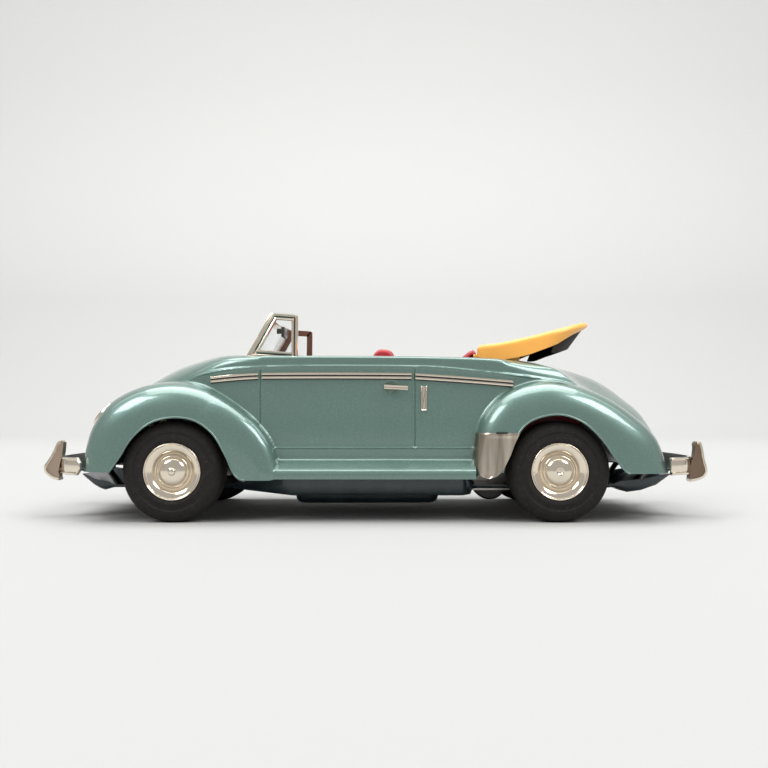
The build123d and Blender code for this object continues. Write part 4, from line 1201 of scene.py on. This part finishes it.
def add_tail_lamps(red, plate):
    """A small red lamp on a plated base behind each rear wheel."""
    section = [(-1.5, 2.2), (-0.3, 2.25), (0.1, 2.1), (0.2, 1.85), (-1.5, 1.8), (-1.5, 2.2)]
    base = lathe("tail_lamp_base_left", section, plate, TAIL_LAMP_AT, aim=TAIL_LAMP_AIM, segments=48)
    both_sides(base, "tail_lamp_base", "car", "nickel")
    profile = [(-0.9, 1.8), (0.05, 1.8), (0.3, 1.6), (0.5, 1.1), (0.58, 0.5), (0.6, 0.02)]
    lens = lathe("tail_lamp", profile, red, TAIL_LAMP_AT, aim=TAIL_LAMP_AIM, segments=48)
    other = mirrored_copy(lens, "tail_lamp_other")
    lens.name = "tail_lamp_lenses"
    place(joined(lens, other), "car", "red_lamp", "tail_lights")


# ---- bumpers ----

BLADE_LINE = [(80.6, 32.5), (83.2, 30.9), (86.6, 28.0), (90.0, 20.0), (91.0, 8.0), (91.2, 0.0)]
BLADE_Z = 15.1
BLADE_END = {"front": 0.42, "rear": 0.88}
OVERRIDER_Y = -20.5
OVERRIDERS = {
    "front": ([(90.1, 21.9), (91.1, 21.3), (92.2, 18.8), (93.6, 16.4), (94.7, 14.6), (94.5, 13.0),
               (93.5, 11.9), (92.0, 11.0), (90.5, 10.6)], [(90.4, 11.8), (90.7, 13.0), (90.2, 15.5),
               (89.8, 17.2), (89.5, 19.5), (89.4, 21.4)]),
    "rear": ([(91.6, 21.6), (92.8, 21.4), (93.4, 19.6), (93.9, 16.5), (94.6, 13.8), (94.3, 12.3),
              (93.3, 11.2), (91.5, 10.5), (89.7, 10.2)], [(89.6, 11.2), (89.7, 14.0), (90.2, 16.2),
              (91.0, 17.2), (91.3, 19.6), (91.2, 21.0)]),
}


def add_overriders(end, plate, painted_reflection):
    """Upright guards: a sunk plate with a broad rim along its outer edge and foot."""
    nose = -1 if end == "front" else 1
    outer, inner = OVERRIDERS[end]
    outline = [(nose * x, z) for x, z in outer + inner]
    web_rings = [(0.0, -1.3), (0.0, 1.3)]
    # The sunk plate takes a darker tinted nickel: painted reflection, lighter on the front guards than on the
    # rear ones.
    web = ring_piece(end + "_web", np.array(outline), web_rings, lambda u, v, out: (u, OVERRIDER_Y - out, v),
                     painted_reflection, filled=True)
    edge = smooth_line(outer, 4)
    middle = np.array([91.2, 16.0])
    ways = np.gradient(edge, axis=0)
    stations = []
    for (x, z), way in zip(edge, ways):
        normal = Vector((way[1], 0, -way[0])).normalized()
        if normal.x * (x - middle[0]) + normal.z * (z - middle[1]) < 0:
            normal = -normal
        stations.append(((nose * x, OVERRIDER_Y, z), (nose * normal.x, 0, normal.z), (0, -1, 0)))
    section = [(-0.75, -1.75), (-0.6, -1.85), (-0.2, -1.8), (0.0, -1.5), (0.05, 0.0), (0.0, 1.5), (-0.2, 1.8),
               (-0.6, 1.85), (-0.75, 1.75)]
    rim = swept(end + "_rim", stations, section, plate)
    both_sides(web, end + "_overrider_web", "car", "nickel")
    both_sides(rim, end + "_overrider_rim", "car", "nickel", end + "_overrider")


def add_bumper(end, plate, dark):
    """A curved blade with a sunk face and the brackets behind."""
    nose = -1 if end == "front" else 1
    half = smooth_line(BLADE_LINE, 9)
    line = np.vstack([half * (1, -1), half[::-1][1:]])
    total = len(line)
    stations = []
    for i, (x, y) in enumerate(line):
        before, after = line[max(i - 1, 0)], line[min(i + 1, total - 1)]
        along_way = (after - before) / np.hypot(*(after - before))
        taper = min(1.0, BLADE_END[end] + 0.15 * min(i, total - 1 - i))
        out = (along_way[1], -along_way[0])
        stations.append(((nose * x, y, BLADE_Z), (nose * out[0], out[1], 0), (0, 0, taper)))
    section = [(-0.45, -2.4), (0.30, -2.4), (0.48, -2.2), (0.48, -1.85), (0.12, -1.55), (0.22, -0.8),
               (0.26, 0.0), (0.22, 0.8), (0.12, 1.55), (0.48, 1.85), (0.48, 2.2), (0.30, 2.4), (-0.45, 2.4),
               (-0.30, 1.8), (-0.30, -1.8)]
    blade = swept(end + "_blade", stations, section, plate, 30.0)
    blade.data.materials.append(dark)
    for face in blade.data.polygons:
        x, y, _ = face.center / MM
        if face.normal.dot(Vector((x - nose * 50.0, y, 0)).normalized()) < -0.5:
            face.material_index = 1
    place(blade, "car", "nickel", end + "_bumper")

    softened(end + "_bumper_brackets", 0.12, "car", "nickel", dark)


# ---- base pan ----

PAN_STATIONS = [(-85.8, 16.0, 11.7, 12.1), (-84.0, 17.2, 10.4, 11.6), (-82.0, 17.8, 8.9, 10.9),
                (-80.2, 18.0, 7.9, 10.4), (-78.9, 18.0, 7.45, 10.2), (-77.4, 18.0, 7.9, 9.8),
                (-76.0, 18.0, 8.2, 9.0), (-42.0, 18.0, 8.1, 9.2), (-39.0, 19.0, 7.6, 10.4),
                (-24.6, 27.6, 6.7, 11.5), (-23.4, 28.0, 6.6, 11.7), (23.4, 28.0, 6.6, 11.7),
                (24.6, 27.6, 6.6, 11.6), (26.8, 24.6, 6.7, 11.2), (27.8, 20.0, 7.8, 9.6),
                (29.0, 19.5, 8.0, 9.2), (58.5, 19.5, 8.0, 9.0), (66.0, 19.5, 8.0, 9.0),
                (68.6, 19.5, 8.4, 9.4), (70.4, 19.5, 7.5, 10.2), (72.7, 19.5, 6.9, 10.4),
                (76.8, 19.3, 7.4, 10.8), (81.2, 18.6, 8.8, 11.5), (83.8, 17.8, 10.5, 11.9),
                (85.8, 16.5, 11.7, 12.1)]


def add_base_pan(paint):
    """The pressed floor with its window for the motor, and the long bulge below it."""
    table = np.array(PAN_STATIONS)
    spots = sorted(set(np.round(np.concatenate([table[:, 0], np.arange(-74, 70, 4.0)]), 2)))
    window_y = 8.2
    shares = [(1.0, 1.0), (1.0, 0.55), (0.985, 0.22), (0.955, 0.06), (0.91, 0.0), (0.7, 0.0)]
    columns = [(-1, s, h) for s, h in shares] + [(0, -1, 0), (0, 0, 0), (0, 1, 0)]
    columns += [(1, s, h) for s, h in shares[::-1]]
    points = []
    for x in spots:
        w, zb, zt = (float(np.interp(x, table[:, 0], table[:, k])) for k in (1, 2, 3))
        for side, a, b in columns:
            y = a * min(window_y, w * 0.6) if side == 0 else side * w * a
            rib = 0.35 * (side == 0 or a <= 0.7) * (abs(x) < 22) * (int(round(x)) % 8 == 0)
            points.append((x, y, zb + (zt - zb) * b + rib))
    count = len(columns)
    faces = []
    for i in range(len(spots) - 1):
        for j in range(count - 1):
            in_window = 28.9 < (spots[i] + spots[i + 1]) / 2 < 58.6 and 6 <= j <= 7
            if not in_window:
                a = i * count + j
                faces.append((a, a + count, a + count + 1, a + 1))
    pan = tidy(add_mesh("floor_pressing", points, faces, paint))
    thickened(pan, 0.5)
    loop = rounded_loop([(-24.0, -14.0), (18.5, -14.0), (18.5, 14.0), (-24.0, 14.0)], 5.0, 8)
    rings = [(0.0, 7.2), (0.0, 5.0), (0.35, 4.0), (1.0, 3.4), (2.0, 3.2), (4.2, 3.2), (4.8, 3.5), (5.4, 3.5)]
    bulge = ring_piece("pan_bulge", loop, rings, lambda u, v, z: (u, v, z), paint, filled=True)
    place(joined(pan, bulge), "car", "pan_paint", "base_pan")
    corners = [(-4.5, 8.2), (4.5, 8.2), (2.6, 16.6), (-2.6, 16.6)]
    ear_loop = rounded_loop([(FRONT_X + x, z) for x, z in corners], 1.6)
    for side, middle_y in (("left", -17.0), ("right", 17.0)):
        ear = ring_piece("axle_ear_" + side, ear_loop, [(0.0, -0.4), (0.0, 0.4)],
                         lambda u, v, out, y=middle_y: (u, y + out, v), paint, filled=True)
        place(ear, "car", "pan_paint")


# ---- cabin ----

def seat_piece(name, outline, y_middle, half_width, skin):
    """A pressed seat with pleats that run up its back and along its cushion."""
    loop = divided(rounded_loop(outline, 1.4, 5), 1.2)

    def pleat(x, y, z):
        inside = np.clip((half_width - 2.0 - abs(y)) / 1.0, 0, 1)
        return -0.35 * inside * (0.5 - 0.5 * cos(2 * pi * y / 2.9)) * (z > 25)

    return padded_outline(name, loop, y_middle, half_width, 1.3, skin, depth=pleat)


def add_cabin(red, plate, plastic):
    """Seats, gauges, wheel and column."""
    seat = seat_piece("front_seat", [(3.4, 14.8), (-17.5, 14.8), (-18.7, 25.6), (-16.6, 26.3), (-4.4, 24.3),
                                     (-2.4, 44.0), (0.4, 48.3), (4.4, 48.0), (6.2, 44.6),
                                     (4.8, 30.0)], -12.0, 9.0, red)
    both_sides(seat, "front_seat_pressing", "car", "red_litho", "front_seat")
    bench = seat_piece("rear_seat_pressing", [(29.0, 24.8), (16.5, 24.8), (16.1, 32.2), (18.0, 33.1),
                                              (22.6, 32.2), (24.0, 45.0), (27.6, 48.2), (29.2, 47.4),
                                              (29.2, 36.0)], 0.0, 20.5, red)
    place(bench, "car", "red_litho", "rear_seat")
    softened("steering_wheel", 0.12, "car", "wheel_plastic", plastic)
    softened("steering_column", 0.12, "car", "bright_steel", plate)
    for i, (y, r) in enumerate(((-12.0, 2.6), (-5.0, 1.7), (6.0, 1.7))):
        sections = {"ring": [(-0.6, r), (0.3, r), (0.45, r - 0.2), (0.3, r - 0.45), (-0.6, r - 0.5)],
                    "face": [(-0.6, r - 0.4), (0.0, r - 0.4), (0.05, r * 0.5), (0.08, 0.35), (0.3, 0.3),
                             (0.3, 0.0)]}
        for part, skin, slot in (("ring", plate, "nickel"), ("face", plastic, "dash_paint")):
            gauge = lathe(f"gauge_{part}_{i}", sections[part], skin, (-22.75, y, 41.2), aim=(1, 0, 0.27),
                          segments=40)
            place(gauge, "car", slot)


def add_tub(red):
    """The red tub, its rear end pressed down to stay under the deck."""
    obj = node_copy("cabin_tub", "cabin_tub_pressing", red)
    with editing(obj) as bm:
        bmesh.ops.remove_doubles(bm, verts=bm.verts, dist=0.002 * MM)
        for x in (COCKPIT[1] + 1.0, 40.0, 46.0, 52.0):
            bmesh.ops.bisect_plane(bm, geom=bm.verts[:] + bm.edges[:] + bm.faces[:], plane_co=(x * MM, 0, 0),
                                   plane_no=(1, 0, 0))
        for vert in bm.verts:
            x, y, z = vert.co / MM
            if x > COCKPIT[1] + 1.5 and z > BOTTOM_Z + 2:
                deck = leave_body((np.array([x]), np.array([y]), BOTTOM_Z), (0.0, 0.0, 1.0))[2]
                vert.co.z = min(z, float(deck[0]) - 1.0) * MM
    shade(obj, 30.0)
    place(obj, "car", "red_litho", "cabin_tub")


# ---- stage ----

PAPER = [(-0.2, 0.405), (0.2, 0.43), (1.1, 0.58), (1.5, 0.62), (1.7, 0.78)]
PAPER_X = 8.0
PAPER_NEAR_Y, BEND_Y, BEND_R = -6.0, 0.9, 0.8
LIGHTS = {
    "overhead": (19.0, (1.5, 1.0), (0.0, 0.10, 1.3), (0, 0, 0)),
    "left_box": (8.0, (0.55, 0.55), (-0.85, -0.55, 0.95), (0, 0, 0.02)),
    "right_box": (8.0, (0.55, 0.55), (0.85, -0.55, 0.95), (0, 0, 0.02)),
    "wall_wash": (25.0, (6.0, 0.6), (0.0, 0.6, 2.2), (0, 1.7, 0.7)),
}
WORLD_LIGHT = 0.50
CAMERA_AT = (0.0023, -0.265, 0.0289)
CAMERA_LENS = 39.8
CAMERA_PITCH = radians(92.16)


def add_stage():
    """A pale floor that curves up into a backdrop, soft lights and the camera."""
    paper, tree, shader = material("paper", (0.80, 0.80, 0.79), rough=0.9)
    tree.links.new(ranged(tree, noise(tree, 25.0, 3.0), 0.85, 0.95), shader.inputs["Roughness"])
    place_node = tree.nodes.new("ShaderNodeTexCoord")
    split = tree.nodes.new("ShaderNodeSeparateXYZ")
    tree.links.new(place_node.outputs["Object"], split.inputs["Vector"])
    back = ranged(tree, split.outputs["Y"], 0.0, 1.0, -0.2, 1.8)
    shades = ramp(tree, back, *[((y + 0.2) / 2.0, (v, v, v * 0.985)) for y, v in PAPER])
    tree.links.new(shades, shader.inputs["Base Color"])
    curve = [(PAPER_NEAR_Y, 0.0), (BEND_Y, 0.0)]
    curve += [(BEND_Y + BEND_R * sin(a), BEND_R - BEND_R * cos(a)) for a in np.linspace(0.08, pi / 2, 16)]
    curve += [(BEND_Y + BEND_R, 3.2)]
    points = [(x / MM, y / MM, z / MM) for y, z in curve for x in (-PAPER_X, PAPER_X)]
    floor = add_mesh("backdrop", points, grid_faces(len(curve), 2), paper, 60.0)

    for name, (energy, size, at, target) in LIGHTS.items():
        data = bpy.data.lights.new(name, "AREA")
        data.shape = "RECTANGLE"
        data.size, data.size_y = size
        data.energy = energy
        lamp = bpy.data.objects.new(name, data)
        lamp.location = at
        lamp.rotation_euler = (Vector(target) - Vector(at)).to_track_quat("-Z", "Y").to_euler()
        bpy.context.scene.collection.objects.link(lamp)

    world = bpy.data.worlds.new("tent")
    world.use_nodes = True
    world.node_tree.nodes["Background"].inputs["Color"].default_value = (1.0, 0.995, 0.985, 1)
    world.node_tree.nodes["Background"].inputs["Strength"].default_value = WORLD_LIGHT
    bpy.context.scene.world = world

    camera = bpy.data.objects.new("camera", bpy.data.cameras.new("camera"))
    camera.data.sensor_width = 36.0
    camera.data.lens = CAMERA_LENS
    camera.data.clip_start = 0.01
    camera.location = CAMERA_AT
    camera.rotation_euler = (CAMERA_PITCH, 0, 0)
    bpy.context.scene.collection.objects.link(camera)
    bpy.context.scene.camera = camera
    bpy.context.scene.view_settings.view_transform = "Standard"


# ---- assembly ----

def paint_nodes(skin, slot, *nodes):
    """Gives carried-over CAD nodes a material."""
    for name in nodes:
        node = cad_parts[name]
        node.data.materials.clear()
        node.data.materials.append(skin)
        shade(node, 30.0)


teal = teal_paint()
pan = pan_paint()
nickel = nickel_plate()
# Brown nickel for the windshield frame's inward faces and similar spots: painted reflection.
painted_reflection = nickel_plate("dark_reflection_nickel", (0.26, 0.13, 0.09), (0.25, 0.45))
guard_plate = brushed_nickel()
# Tan and brown nickel for the overriders' sunk plates: painted reflection, lighter in front, darker behind.
overrider_lit_reflection = nickel_plate("light_overrider_reflection", (0.46, 0.36, 0.28), (0.25, 0.4))
overrider_shaded_reflection = nickel_plate("dark_overrider_reflection", (0.24, 0.17, 0.12), (0.25, 0.4))
rubber = tyre_rubber()
orange = enamel("orange_enamel", (1.0, 0.47, 0.085), (0.93, 0.42, 0.075), 0.42, 0.25)
red = enamel("red_litho", (0.46, 0.018, 0.026), (0.36, 0.014, 0.020), 0.42, 0.15)
dash = enamel("dash_enamel", (0.15, 0.22, 0.19), (0.12, 0.19, 0.165), 0.3, 0.5, 0.3)
plastic = enamel("ivory_plastic", (0.70, 0.62, 0.45), (0.62, 0.54, 0.38), 0.35, 0.2)
# Black enamel for the flywheel, also used as painted shade in grooves, slots and under the body's sheet.
black = enamel("black_enamel_and_painted_shade", (0.012, 0.010, 0.009), (0.025, 0.020, 0.016), 0.38, 0.3)
# Near-black brown: painted shade inside the folded top and on its rear lining.
lining = enamel("shade_brown", (0.016, 0.009, 0.006), (0.010, 0.006, 0.004), 0.7, 0.0)
lamp_red = enamel("red_lamp", (0.55, 0.010, 0.008), (0.40, 0.008, 0.006), 0.15, 0.8)
brass = steel("gear_brass", (0.68, 0.50, 0.24))
bright = steel()
clear = clear_sheet()

body = place(body_mesh(teal), "car", "teal_paint", "body_shell")
# The sheet's inner side is black: painted shade under the fenders and in the wheel arches.
thickened(body, 0.35, black)
add_wheels(rubber, nickel)
add_windshield(nickel, painted_reflection, clear, black)
add_folded_top(orange, lining)
add_arch_lips(teal)
add_belt_strips(nickel, black)
add_door_handles(nickel)
add_uprights(nickel)
add_stone_guards(guard_plate, black)
add_headlights(nickel, clear)
add_tail_lamps(lamp_red, nickel)
add_bumper("front", nickel, black)
add_bumper("rear", nickel, black)
add_overriders("front", nickel, overrider_lit_reflection)
add_overriders("rear", nickel, overrider_shaded_reflection)
add_base_pan(pan)
add_cabin(red, nickel, plastic)
add_tub(red)
paint_nodes(dash, "dash_paint", "dashboard")
paint_nodes(bright, "bright_steel", "front_axle", "rear_axle", "front_axle_collars", "idler_arbor",
            "flywheel_arbor", "motor_spacers")
paint_nodes(bright, "motor_steel", "motor_plate_left", "motor_plate_right")
paint_nodes(brass, "gear_brass", "axle_gear", "idler_gear", "flywheel_pinion")
paint_nodes(black, "flywheel_black", "flywheel")
add_stage()
